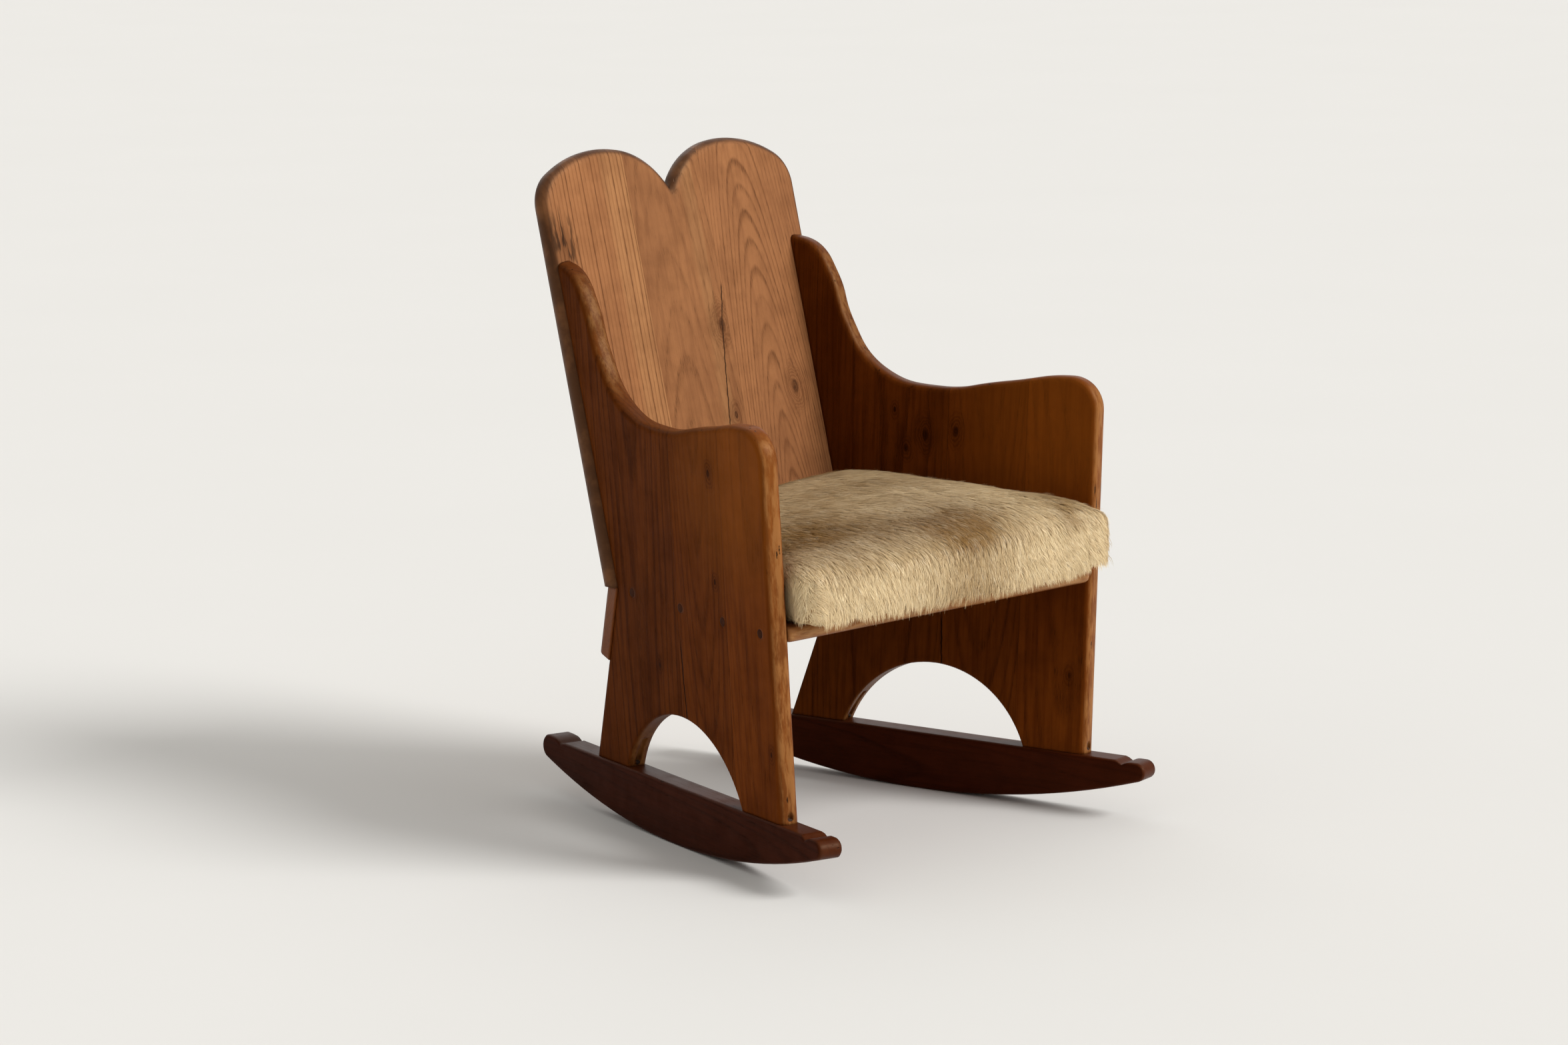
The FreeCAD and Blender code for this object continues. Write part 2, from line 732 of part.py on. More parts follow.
def cushion_inset(height_share):
    """How far the cushion's side stands in from its widest line, as a share of the edge round."""
    lower_turn = cushion_turn_share
    upper_turn = 1 - cushion_turn_share
    if height_share < lower_turn:
        turn = (lower_turn - height_share) / lower_turn
    elif height_share > upper_turn:
        turn = (height_share - upper_turn) / (1 - upper_turn)
    else:
        waist = math.sin(math.pi * (height_share - lower_turn) / (upper_turn - lower_turn))
        return cushion_waist_share * waist
    return 1 - math.sqrt(1 - turn ** 2)


def cushion_sections(wall):
    """Sections of the cushion from the top of its base cloth to its crown, inset by a wall."""
    base = seat_top + cushion_seat_clearance
    edge_height = cushion_edge_height - wall
    level = base + edge_height
    rises = [base_cloth_thickness] + [share * edge_height for share in cushion_height_shares]
    sections = []
    for rise in rises:
        inset = wall + cushion_edge_round * cushion_inset(rise / edge_height)
        fall = cushion_front_fall * rise / cushion_edge_height
        sections.append(cushion_plan(inset, cushion_draw_in, base + rise, base + rise - fall, base + rise))
    half_depth = (waist_y - seat_front_y + cushion_overhang) / 2
    edge_inset = wall + cushion_edge_round
    fall = cushion_front_fall * edge_height / cushion_edge_height
    for share in cushion_crown_shares:
        inset = edge_inset + share * (cushion_top_share * half_depth - edge_inset)
        rise = cushion_crown * (1 - (1 - share) ** 2)
        sections.append(cushion_plan(inset, 0, level, level + rise - fall, level + rise))
    return sections


def cushion_pieces():
    """The filling, the hide over it and the cloth that closes the underside."""
    outer = cushion_sections(0)
    inner = cushion_sections(hide_thickness)
    base = seat_top + cushion_seat_clearance
    underside = cushion_plan(cushion_edge_round * cushion_inset(0), cushion_draw_in, base, base, base)
    filling = skinned_solid(inner)
    hide = skinned_solid(outer).cut(filling)
    return filling, single(hide), skinned_solid([underside, outer[0]])


def export(name, shape):
    shape.exportStep(os.path.join("parts", name + ".step"))
    solids = shape.Solids
    print(name, len(solids), "solids", round(sum(s.Volume for s in solids)), shape.isValid())


def main():
    os.makedirs("parts", exist_ok=True)
    pieces = {}
    board_names = ("side_rear_board", "side_middle_board", "side_front_board")
    nails = foot_nails()
    nail_solids = [solid for solid, pocket in nails]
    pockets = [pocket for solid, pocket in nails]
    seat_peg_solids = seat_pegs()
    back_nails = rear_nails(back_nail_shares, back_length, rake, back_thickness, 1)
    rail_nails = rear_nails(rail_nail_shares, rail_height, splay, rail_thickness, -1)
    fastenings = nail_solids + pockets + seat_peg_solids + back_nails + rail_nails
    right = {name: single(board.cut(fastenings)) for name, board in zip(board_names, side_boards())}
    right["rocker"] = single(rocker().cut(nail_solids))
    right["seat_pegs"] = Part.makeCompound(seat_peg_solids)
    right["back_nails"] = Part.makeCompound(back_nails)
    right["rail_nails"] = Part.makeCompound(rail_nails)
    right["foot_nails"] = Part.makeCompound(nail_solids)
    for name, shape in right.items():
        pieces["right_" + name] = shape
        pieces["left_" + name] = mirrored(shape)
    both_back_nails = back_nails + [mirrored(nail) for nail in back_nails]
    for name, board in zip(("left", "middle", "right"), back_boards()):
        pieces["back_" + name + "_board"] = single(board.cut(both_back_nails))
    both_rail_nails = rail_nails + [mirrored(nail) for nail in rail_nails]
    pieces["lower_back_rail"] = single(lower_rail().cut(both_rail_nails))
    both_seat_pegs = seat_peg_solids + [mirrored(peg) for peg in seat_peg_solids]
    for name, board in zip(("front", "middle", "rear"), seat_boards()):
        pieces["seat_" + name + "_board"] = single(board.cut(both_seat_pegs))
    filling, hide, base_cloth = cushion_pieces()
    pieces["cushion_filling"] = filling
    pieces["cushion_hide_cover"] = hide
    pieces["cushion_base_cloth"] = base_cloth
    for name, shape in pieces.items():
        export(name, shape)


main()
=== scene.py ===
import math
import random

import bmesh
import bpy
from bpy.props import FloatProperty, FloatVectorProperty, IntProperty, PointerProperty
from mathutils import Euler, Matrix, Vector, noise
from mathutils.bvhtree import BVHTree


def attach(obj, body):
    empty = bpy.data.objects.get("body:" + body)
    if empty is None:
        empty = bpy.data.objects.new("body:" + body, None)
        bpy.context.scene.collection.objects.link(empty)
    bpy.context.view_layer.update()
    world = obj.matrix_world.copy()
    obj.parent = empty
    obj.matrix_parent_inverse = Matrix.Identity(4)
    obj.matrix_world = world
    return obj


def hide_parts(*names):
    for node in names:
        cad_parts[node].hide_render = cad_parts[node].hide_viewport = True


bl_info = {
    "name": "Plank rocking chair",
    "version": (1, 0, 0),
    "blender": (4, 5, 0),
    "location": "View3D > Sidebar > Rocking chair",
    "description": "Dresses the packed rocking chair in worn wood and a hair-on hide cushion",
    "category": "Object",
}

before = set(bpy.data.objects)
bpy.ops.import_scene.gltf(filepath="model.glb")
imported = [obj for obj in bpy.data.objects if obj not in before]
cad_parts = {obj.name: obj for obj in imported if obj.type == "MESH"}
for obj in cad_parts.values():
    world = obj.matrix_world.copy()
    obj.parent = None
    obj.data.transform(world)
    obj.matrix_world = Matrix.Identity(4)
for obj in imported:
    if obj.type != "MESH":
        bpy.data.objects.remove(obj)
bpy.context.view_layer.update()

# Stance of the chair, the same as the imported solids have.
TOE = math.radians(12.4)             # the sides turn in toward the back
CANT = math.radians(3.5)             # and lean out
RAKE = math.radians(15.0)            # the back leans back
SPLAY = math.radians(17.0)           # the lower rail leans the other way
SIDE_FOOT = Vector((0.300, -0.2525, 0.080))
WAIST = Vector((0.0, 0.1287, 0.328))
PANEL_THICKNESS = 0.027
PANEL_FRONT_Y = -0.250
SEAT_TOP = 0.339
SEAT_FRONT_Y = -0.2557
GLUE_LINES = (-0.235, -0.110)        # x on the side's own board frame
BACK_GLUE_LINES = (-0.082, 0.058)


def linear(code):
    """A screen colour written as 0xRRGGBB, as linear red, green and blue."""
    channels = [(code >> shift & 255) / 255 for shift in (16, 8, 0)]
    return tuple(c / 12.92 if c <= 0.04045 else ((c + 0.055) / 1.055) ** 2.4 for c in channels)


def inner_face_x(y, z):
    """Where the right side's inner face stands at a given depth and height."""
    lean = math.sin(CANT) * (z - SIDE_FOOT.z) - math.cos(CANT) * math.sin(TOE) * (y - SIDE_FOOT.y)
    return SIDE_FOOT.x + (lean - PANEL_THICKNESS) / (math.cos(CANT) * math.cos(TOE))


def back_face_y(z):
    """Where the back board's front face stands at a given height."""
    return WAIST.y + (z - WAIST.z) * math.tan(RAKE)


# Board frames: x across the face, y through the board, z along the grain.

def board_place(turn, foot, mirrored=False):
    """The Mapping node's values that take chair coordinates to a board's own frame."""
    return {
        "Location": -(turn @ foot),
        "Rotation": turn.to_euler("XYZ"),
        "Scale": Vector((-1 if mirrored else 1, 1, 1)),
    }


def turned(angle, axis):
    """A turn about an axis, as a 3 by 3 matrix."""
    return Matrix.Rotation(angle, 3, axis)


LAY_ALONG_X = turned(math.pi / 2, "Y")
SIDE_TURN = turned(CANT, "X") @ turned(math.pi / 2 - TOE, "Z")
BACK_TURN = turned(RAKE, "X")
RAIL_TURN = LAY_ALONG_X @ turned(-SPLAY, "X")
ROCKER_TURN = LAY_ALONG_X @ turned(math.pi / 2 - TOE, "Z")
PEG_TURN = turned(math.pi / 2, "X") @ turned(math.pi / 2 - TOE, "Z")
SEAT_TURN = Matrix(((0, -1, 0), (0, 0, 1), (-1, 0, 0)))


class Nodes:
    """The node tree of a material or world, with short calls that add nodes and join them."""

    def __init__(self, owner):
        self.owner = owner
        owner.use_nodes = True
        self.tree = owner.node_tree
        self.tree.nodes.clear()

    def add(self, kind, inputs, out=0, **settings):
        """Add a node and return one of its outputs, or nothing if it has none."""
        node = self.tree.nodes.new("ShaderNode" + kind)
        for name, value in settings.items():
            setattr(node, name, value)
        for socket, value in inputs.items():
            if isinstance(value, bpy.types.NodeSocket):
                self.tree.links.new(value, node.inputs[socket])
            else:
                node.inputs[socket].default_value = value
        return node.outputs[out] if node.outputs else None

    def math(self, operation, *values, clamp=False):
        return self.add("Math", dict(enumerate(values)), operation=operation, use_clamp=clamp)

    def times(self, first, second):
        """The product of two values."""
        return self.math("MULTIPLY", first, second)

    def sloped(self, value, slope, start, clamp=False):
        """Slope times a value, plus a start."""
        return self.math("MULTIPLY_ADD", value, slope, start, clamp=clamp)

    def distance(self, aside, along):
        """The distance that two measures at right angles make."""
        squares = self.math("ADD", self.times(aside, aside), self.times(along, along))
        return self.math("SQRT", squares)

    def vector(self, operation, *values):
        return self.add("VectorMath", dict(enumerate(values)), operation=operation)

    def scaled(self, vector, share):
        return self.add("VectorMath", {0: vector, "Scale": share}, operation="SCALE")

    def parts(self, vector):
        """A vector's x, y and z."""
        return tuple(self.add("SeparateXYZ", {0: vector}).node.outputs)

    def mix(self, share, first, second):
        """Mix two colours."""
        inputs = {0: share, 6: first, 7: second}
        for socket in (6, 7):
            if not isinstance(inputs[socket], bpy.types.NodeSocket):
                inputs[socket] = (*inputs[socket], 1)
        return self.add("Mix", inputs, 2, data_type="RGBA", blend_type="MIX", clamp_factor=True)

    def rise(self, value, low, high, to_low=0.0, to_high=1.0):
        """A smooth step from one value to another as a measure goes from low to high."""
        inputs = {0: value, 1: low, 2: high, 3: to_low, 4: to_high}
        return self.add("MapRange", inputs, interpolation_type="SMOOTHSTEP")

    def ramp(self, value, stops):
        """A grey ramp through the given places and levels."""
        grey = self.add("ValToRGB", {0: value})
        elements = grey.node.color_ramp.elements
        while len(elements) < len(stops):
            elements.new(0.5)
        for element, (place, level) in zip(elements, stops):
            element.position = place
            element.color = (level, level, level, 1)
        return grey

    def noise(self, vector, scale, detail=2.0, roughness=0.5):
        inputs = {"Vector": vector, "Scale": scale, "Detail": detail, "Roughness": roughness}
        return self.add("TexNoise", inputs)

    def stretched(self, vector, x, y, z):
        return self.vector("MULTIPLY", vector, (x, y, z))

    def bump(self, height, strength, distance, **normal):
        inputs = {"Height": height, "Strength": strength, "Distance": distance, **normal}
        return self.add("Bump", inputs)


class Finish(Nodes):
    """A material, closed with one surface shader."""

    def __init__(self, name):
        super().__init__(bpy.data.materials.new(name))

    def close(self, **sockets):
        """Add the surface shader. Names use _ for the spaces in its sockets' names."""
        inputs = {name.replace("_", " "): value for name, value in sockets.items()}
        self.add("OutputMaterial", {"Surface": self.add("BsdfPrincipled", inputs)})
        return self.owner


WOOD_DEFAULTS = {
    "pith": (0.0, 0.06),    # the tree's middle, from the board's own zero
    "taper": 0.05,      # drift of the pith along the grain
    "spacing": 0.0045,  # one year's growth
    "sway": 0.012,      # how far the grain wanders
    "contrast": 0.55,   # how dark the late wood is
    "pores": 0.55,
    "fibre": 0.35,
    "mottle": 0.35,
    "streak": 0.35,
    "wear": 0.5,
    "rim": 0.007,       # how far the rounding at an edge reaches into the face
    "edge_reach": 0.5,  # how square to the face an edge is where its tone is full
    "nicks": 0.5,
    "front_wear": 0.0,  # how bare the front edge is rubbed, and how much painted light brightens the faces that face forward
    "spots": (),        # x, z, half width and half height of each stain
    "bands": (),        # x at the start and end of each pale strip
    "glow": (),         # x, z, radius and strength of a painted pool of light on the face
    "knots": (),        # x, z and radius
    "cracks": (),       # x and z at one end, x and z at the other
    "seams": (),        # x of each glue line
    "seam_depth": 1.0,
    "gloss": 0.40,      # roughness between the pores
    "sheen": 0.10,      # how much of the light the wax throws back
}
WOOD_TEXTURES = {       # stretch along the grain, scale, and any other detail and roughness
    "sway": (0.3, 5.0),
    "ripple": (0.08, 60.0),
    "fibre": (0.025, 520.0, 4.0, 0.65),
    "pore": (0.045, 1300.0, 1.0),
    "streak": (0.05, 130.0, 3.0, 0.6),
    "mottle": (0.5, 9.0, 4.0, 0.6),
    "patina": (1.0, 26.0, 3.0, 0.6),
    "rub": (0.2, 110.0, 4.0, 0.65),
    "nick_rim": (1.0, 400.0),
    "nick_place": (1.0, 40.0, 1.0),
    "ruffle": (0.6, 70.0, 3.0, 0.6),
    "jitter": (1.0, 90.0, 3.0, 0.5),
    "dash": (0.16, 190.0),
    "grip": (1.0, 18.0),
    "dent": (1.0, 34.0),
}
MARK_LEVELS = {         # the texture's level where its marks start, and where they are full
    "pore": (0.56, 0.66),
    "streak": (0.42, 0.68),
    "mottle": (0.38, 0.72),
    "patina": (0.35, 0.75),
    "rub": (0.38, 0.6),
    "nick_place": (0.52, 0.6),
    "dash": (0.48, 0.6),
}
RING_PROFILE = ((0.0, 0.0), (0.5, 0.06), (0.82, 1.0), (1.0, 0.0))  # from one winter to the next
RIPPLE = 0.3              # share of a year by which the rings waver
BEVEL_SAMPLES = 8
GLUED_REACH = 1.6         # rims from a glue line within which no edge is rounded
FACE_ON = 0.985           # how square to the face a place is where the edge's tone starts
KNOT_LONG = 0.55          # a knot's width over its height
KNOT_PULL, KNOT_PULL_REACH = 0.85, 4.5
WHORL_RATE = 1900.0
NICK_STRETCH, NICK_SCALE = 0.16, 120.0
CRACK_WIDTH, CRACK_WANDER, CRACK_END = 0.0014, 0.004, 0.01
BAND_RAGGED = 0.016       # width over which a pale strip's sides are uneven
GLUE_LINE_WIDTH = 0.0008
BUMP_HEIGHT = 0.0007
WAX = 0xFFD9B0


class Plank(Finish):
    """A board's wood, from its growth rings out to its worn edges."""

    def __init__(self, name, place, tones, seed, **changes):
        super().__init__(name)
        self.place = place
        self.tones = tones
        self.figure = {**WOOD_DEFAULTS, **changes}
        self.board = self.add("Mapping", {"Vector": self.add("TexCoord", {}, "Object"), **place})
        self.x, _, self.z = self.parts(self.board)
        draw = random.Random(seed)
        offset = tuple(draw.uniform(-5, 5) for _ in range(3))
        self.seeded = self.vector("ADD", self.board, offset)
        self.fibre = self.texture("fibre")
        self.patina = self.texture("patina")

    def texture(self, name):
        """One of the wood's textures, at this board's own place in it."""
        stretch, *settings = WOOD_TEXTURES[name]
        return self.noise(self.stretched(self.seeded, 1, 1, stretch), *settings)

    def marks(self, name, least=0.0):
        """Where a texture's marks show on the board."""
        return self.rise(self.texture(name), *MARK_LEVELS[name], least)

    def near_line(self, place, width):
        """One where the board's x is within a line's width of a place."""
        gap = self.math("ABSOLUTE", self.math("SUBTRACT", self.x, place))
        return self.rise(gap, width, 0.4 * width)

    def patch_reach(self, centre_x, centre_z, half_width, half_height):
        """How far a place is from a patch's middle, where 1 is the patch's edge."""
        aside = self.math("DIVIDE", self.math("SUBTRACT", self.x, centre_x), half_width)
        along = self.math("DIVIDE", self.math("SUBTRACT", self.z, centre_z), half_height)
        return self.distance(aside, along)

    def tint(self, mask, share, tone):
        """Lay a share of one of the board's tones over its colour, where a mask says."""
        self.colour = self.mix(self.times(mask, share), self.colour, self.tones[tone])

    def sink(self, mask):
        self.hollow = self.math("MAXIMUM", self.hollow, mask)

    def round_edges(self):
        """Round the face's direction at the edges, but keep it flat where two boards are glued."""
        figure = self.figure
        self.rounded = self.add("Bevel", {"Radius": figure["rim"]}, samples=BEVEL_SAMPLES)
        on_object = self.add("VectorTransform", {0: self.rounded}, vector_type="NORMAL",
                             convert_from="WORLD", convert_to="OBJECT")
        turn = {"Rotation": self.place["Rotation"], "Scale": self.place["Scale"]}
        on_board = self.add("Mapping", {"Vector": on_object, **turn}, vector_type="VECTOR")
        if figure["seams"]:
            near = 0.0
            for seam in figure["seams"]:
                glued = self.near_line(seam, GLUED_REACH * figure["rim"])
                near = self.math("MAXIMUM", near, glued)
            lean = self.times(self.parts(on_board)[0], near)
            across = Vector(self.place["Rotation"].to_matrix()[0]) * self.place["Scale"]
            excess = self.scaled(across, lean)
            flat = self.vector("NORMALIZE", self.vector("SUBTRACT", on_object, excess))
            self.rounded = self.add("VectorTransform", {0: flat}, vector_type="NORMAL",
                                    convert_from="OBJECT", convert_to="WORLD")
            on_board = self.add("Mapping", {"Vector": flat, **turn}, vector_type="VECTOR")
        self.facing = self.parts(on_board)
        square = self.math("ABSOLUTE", self.facing[1])
        self.edge = self.rise(square, FACE_ON, figure["edge_reach"])

    def ring_radius(self):
        """Distance from the tree's pith, bent by sway and pushed aside by the knots."""
        figure = self.figure
        sway = self.vector("SUBTRACT", self.texture("sway").node.outputs[1], (0.5, 0.5, 0.5))
        sway = self.scaled(sway, 2 * figure["sway"])
        x, y, z = self.parts(self.vector("ADD", self.board, sway))
        self.knots = []
        for knot_x, knot_z, size in figure["knots"]:
            aside = self.math("SUBTRACT", x, knot_x)
            reach = self.distance(aside, self.times(self.math("SUBTRACT", z, knot_z), KNOT_LONG))
            pull = self.rise(reach, 0.0, KNOT_PULL_REACH * size, KNOT_PULL, 0.0)
            x = self.math("SUBTRACT", x, self.times(aside, pull))
            self.knots.append((reach, size))
        pith_x, pith_y = figure["pith"]
        depth = self.math("SUBTRACT", y, pith_y)
        depth = self.math("ADD", depth, self.times(z, figure["taper"]))
        return self.distance(self.math("SUBTRACT", x, pith_x), depth)

    def grow_rings(self):
        """Find the late wood of each year, and the pores that follow it."""
        years = self.math("DIVIDE", self.ring_radius(), self.figure["spacing"])
        phase = self.math("ADD", years, self.times(self.texture("ripple"), RIPPLE))
        ring = self.ramp(self.math("FRACT", phase), RING_PROFILE)
        year = self.add("TexWhiteNoise", {"W": self.math("FLOOR", phase)}, noise_dimensions="1D")
        self.late = self.times(ring, self.rise(year, 0.0, 1.0, 0.35, 1.0))
        self.pore = self.times(self.marks("pore"), self.rise(self.late, 0.15, 0.6, 0.2, 1.0))

    def colour_grain(self):
        """Lay the fibres, pale strips, streaks, rings, pores and clouds over each other, and any
        painted pool of light.
        """
        figure = self.figure
        fibre_share = self.times(self.fibre, figure["fibre"] * 1.6)
        self.colour = self.mix(fibre_share, self.tones["light"], self.tones["middle"])
        streak = self.texture("streak")
        for start, end in figure["bands"]:
            centred = self.math("SUBTRACT", self.x, BAND_RAGGED / 2)
            ragged = self.sloped(streak, BAND_RAGGED, centred)
            band = self.times(self.rise(ragged, start, start + 0.012),
                              self.rise(ragged, end + 0.004, end))
            self.tint(band, 0.5, "rub")
        self.tint(self.rise(streak, *MARK_LEVELS["streak"]), figure["streak"], "stain")
        self.tint(self.late, figure["contrast"], "dark")
        self.tint(self.pore, figure["pores"], "pore")
        self.tint(self.marks("mottle"), figure["mottle"], "stain")
        self.tint(self.rise(self.patina, *MARK_LEVELS["patina"]), 0.25, "dark")
        # Painted light: a lighter amber pool where light falls brightest on the face.
        if figure["glow"]:
            centre_x, centre_z, radius, strength = figure["glow"]
            reach = self.patch_reach(centre_x, centre_z, radius, radius)
            self.tint(self.rise(reach, 1.0, 0.25), strength, "painted_light_tone")

    def wear_edges(self):
        """Burnish the edges, rub the front edge bare and paint light on it where it faces forward,
        and nick them both.
        """
        figure = self.figure
        self.worn = self.times(self.edge, self.rise(self.patina, 0.25, 0.6, 0.6, 1.0))
        self.tint(self.worn, figure["wear"], "edge")
        # Front faces turn lighter: partly rubbed bare wood, partly painted light where they face
        # the light.
        if figure["front_wear"]:
            ahead = self.times(self.rise(self.facing[0], 0.45, 0.95), self.marks("rub", 0.15))
            self.tint(ahead, figure["front_wear"], "rub")
        slim = self.stretched(self.seeded, 1, 1, NICK_STRETCH)
        cell = self.add("TexVoronoi", {"Vector": slim, "Scale": NICK_SCALE, "Randomness": 1.0})
        ragged = self.math("ADD", cell, self.times(self.texture("nick_rim"), 0.25))
        nick = self.times(self.rise(ragged, 0.30, 0.22), self.marks("nick_place"))
        nick = self.times(nick, self.rise(self.edge, 0.15, 0.6, 0.12, 1.0))
        self.tint(nick, figure["nicks"], "pore")
        self.hollow = nick

    def mark_knots(self):
        """Give each knot its dark heart, its whorls and an uneven halo."""
        ruffle = self.texture("ruffle")
        for reach, size in self.knots:
            ragged = self.sloped(ruffle, 2.4 * size, self.math("SUBTRACT", reach, 1.2 * size))
            whorl = self.sloped(self.math("SINE", self.times(ragged, WHORL_RATE)), 0.25, 0.55)
            self.tint(self.times(self.rise(ragged, 4.2 * size, 1.4 * size), whorl), 0.7, "dark")
            heart = self.times(self.rise(reach, size, 0.55 * size), 0.75)
            tone = self.mix(whorl, self.tones["dark"], self.tones["pore"])
            self.colour = self.mix(heart, self.colour, tone)

    def mark_cracks(self):
        """Draw each crack as a wavering line that closes at both ends."""
        wander = self.sloped(self.texture("jitter"), CRACK_WANDER, -CRACK_WANDER / 2)
        for start_x, start_z, end_x, end_z in self.figure["cracks"]:
            ends = {0: self.z, 1: start_z, 2: end_z, 3: start_x, 4: end_x}
            path = self.math("ADD", self.add("MapRange", ends, clamp=False), wander)
            low, high = sorted((start_z, end_z))
            window = self.times(self.rise(self.z, low - CRACK_END, low + CRACK_END),
                                self.rise(self.z, high + CRACK_END, high - CRACK_END))
            crack = self.times(self.near_line(path, CRACK_WIDTH), window)
            self.tint(crack, 0.9, "pore")
            self.sink(crack)

    def mark_spots(self):
        """Stain the front face where water or a hand has left a dark spot."""
        for spot in self.figure["spots"]:
            on_front = self.rise(self.facing[1], 0.1, -0.5)
            blur = self.times(self.rise(self.patch_reach(*spot), 1.1, 0.1), on_front)
            self.tint(blur, 0.6, "dark")
            self.tint(self.times(self.marks("dash"), self.math("SQRT", blur)), 0.9, "pore")

    def mark_glue_lines(self):
        for seam in self.figure["seams"]:
            line = self.times(self.near_line(seam, GLUE_LINE_WIDTH), self.figure["seam_depth"])
            line = self.times(line, self.sloped(self.texture("grip"), 1.0, 0.1, clamp=True))
            self.tint(line, 1.0, "pore")
            self.sink(line)

    def surface(self):
        """The finished material, with its relief and the gloss that wear gives it."""
        height = self.times(self.fibre, 0.18)
        relief = ((self.late, 0.14), (self.pore, -0.5), (self.hollow, -1.3),
                  (self.texture("dent"), 0.9))
        for mark, lift in relief:
            height = self.sloped(mark, lift, height)
        gloss = self.sloped(self.fibre, 0.12, self.figure["gloss"] - 0.06)
        gloss = self.sloped(self.pore, 0.15, gloss)
        gloss = self.sloped(self.rise(self.patina, 0.3, 0.8), 0.12, gloss)
        gloss = self.sloped(self.worn, -0.06, gloss, clamp=True)
        sheen = self.sloped(self.worn, 0.35 * self.figure["wear"], self.figure["sheen"])
        return self.close(Base_Color=self.colour, Roughness=gloss, IOR=1.45,
                          Normal=self.bump(height, 0.55, BUMP_HEIGHT, Normal=self.rounded),
                          Specular_IOR_Level=sheen, Specular_Tint=(*linear(WAX), 1))


def wood(name, place, tones, seed, **changes):
    """A board's finished wood. The changes are to WOOD_DEFAULTS."""
    plank = Plank(name, place, tones, seed, **changes)
    plank.round_edges()
    plank.grow_rings()
    plank.colour_grain()
    plank.wear_edges()
    plank.mark_knots()
    plank.mark_cracks()
    plank.mark_spots()
    plank.mark_glue_lines()
    return plank.surface()


def tone_set(light, middle, dark, stain, pore, edge, rub=0xAC7440):
    """The tones of one kind of wood: rub is bare wood, also laid as painted light on the front
    faces, and the amber tone is painted light where light falls brightest.
    """
    codes = {"light": light, "middle": middle, "dark": dark, "stain": stain, "pore": pore,
             "edge": edge, "rub": rub, "painted_light_tone": 0xA85E1C}
    return {name: linear(code) for name, code in codes.items()}


def shaded(tones, share):
    """The same tones, all lighter or darker."""
    return {name: tuple(channel * share for channel in tone) for name, tone in tones.items()}


BACK_TONES = tone_set(0xAC744A, 0x96633D, 0x5E351C, 0x7F5032, 0x2A170D, 0x42220F, 0xB58355)
SIDE_TONES = tone_set(0x8A4614, 0x70330A, 0x421A04, 0x562406, 0x1C0C03, 0x743C12)
ROCKER_TONES = tone_set(0x471B0A, 0x381406, 0x240B03, 0x2A0E04, 0x100502, 0x55280E)
SEAT_TONES = tone_set(0x8A4E24, 0x743C18, 0x421D0A, 0x582A0E, 0x200F07, 0xA06A3C, 0xC0905C)
PEG_TONES = tone_set(0x482009, 0x3A1806, 0x200C03, 0x2C1205, 0x100602, 0x2E1407)


def give(node, material):
    """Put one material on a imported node."""
    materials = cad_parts[node].data.materials
    materials.clear()
    materials.append(material)


class ChairSizes(bpy.types.PropertyGroup):
    """Sizes that a user would change."""

    hair_length: FloatProperty(
        name="Hair length", description="Length of a hair on the hide", default=0.0135,
        unit="LENGTH")
    hair_width: FloatProperty(
        name="Hair width", description="Width of a hair at its root", default=0.0005,
        unit="LENGTH")
    hair_count: IntProperty(
        name="Hairs in a part", description="Number of hairs in each part of the coat",
        default=32000)
    hide_voxel: FloatProperty(
        name="Hide grid", description="Grid on which the cushion is filled", default=0.005,
        unit="LENGTH")
    hide_swell: FloatProperty(
        name="Hide swell", description="Most that the filling moves the hide", default=0.006,
        unit="LENGTH")


class ChairColours(bpy.types.PropertyGroup):
    """Colours that a user would change."""

    pale_hair: FloatVectorProperty(
        name="Pale hair", description="Colour of most of the hide", subtype="COLOR",
        default=linear(0xEED6A8))
    tan_hair: FloatVectorProperty(
        name="Tan hair", description="Colour of the hide's darker patches", subtype="COLOR",
        default=linear(0x9C743A))
    # Painted shade: the colour of the shadow down among the hairs.
    painted_root_shade: FloatVectorProperty(
        name="Hair root", description="Colour down among the hairs", subtype="COLOR",
        default=linear(0x8E683A))
    floor: FloatVectorProperty(
        name="Floor", description="Colour of the studio floor", subtype="COLOR",
        default=linear(0xE6E4E0))


class CHAIR_OT_dress_back(bpy.types.Operator):
    """Put honey-coloured wood on the three boards of the back"""

    bl_idname = "chair.dress_back"
    bl_label = "Dress the back"

    def execute(self, context):
        place = board_place(BACK_TURN, WAIST)
        common = {"wear": 0.92, "rim": 0.013, "edge_reach": 0.86, "nicks": 0.25,
                  "seams": BACK_GLUE_LINES, "seam_depth": 0.08, "gloss": 0.42, "sheen": 0.12}
        give("back_left_board", wood(
            "Back left plank", place, BACK_TONES, 11, pith=(-0.60, -0.02), taper=0.0,
            spacing=0.0070, sway=0.006, contrast=0.8, pores=0.6, mottle=0.2, streak=0.25,
            bands=((-0.130, -0.06),), spots=((-0.214, 0.466, 0.026, 0.052),), **common))
        give("back_middle_board", wood(
            "Back middle plank", place, shaded(BACK_TONES, 0.88), 23, pith=(-0.03, -0.12),
            taper=0.06, spacing=0.0052, contrast=0.34, pores=0.5, mottle=0.5,
            bands=((0.012, 0.038),),
            knots=((0.046, 0.333, 0.007), (0.042, 0.207, 0.004)),
            cracks=((0.060, 0.396, 0.046, 0.333), (0.046, 0.333, 0.025, 0.187)), **common))
        give("back_right_board", wood(
            "Back right plank", place, shaded(BACK_TONES, 0.95), 37, pith=(0.128, -0.014),
            taper=0.11, spacing=0.0042, sway=0.010, contrast=0.6, pores=0.6, mottle=0.4,
            knots=((0.165, 0.231, 0.007),), **common))
        return {"FINISHED"}


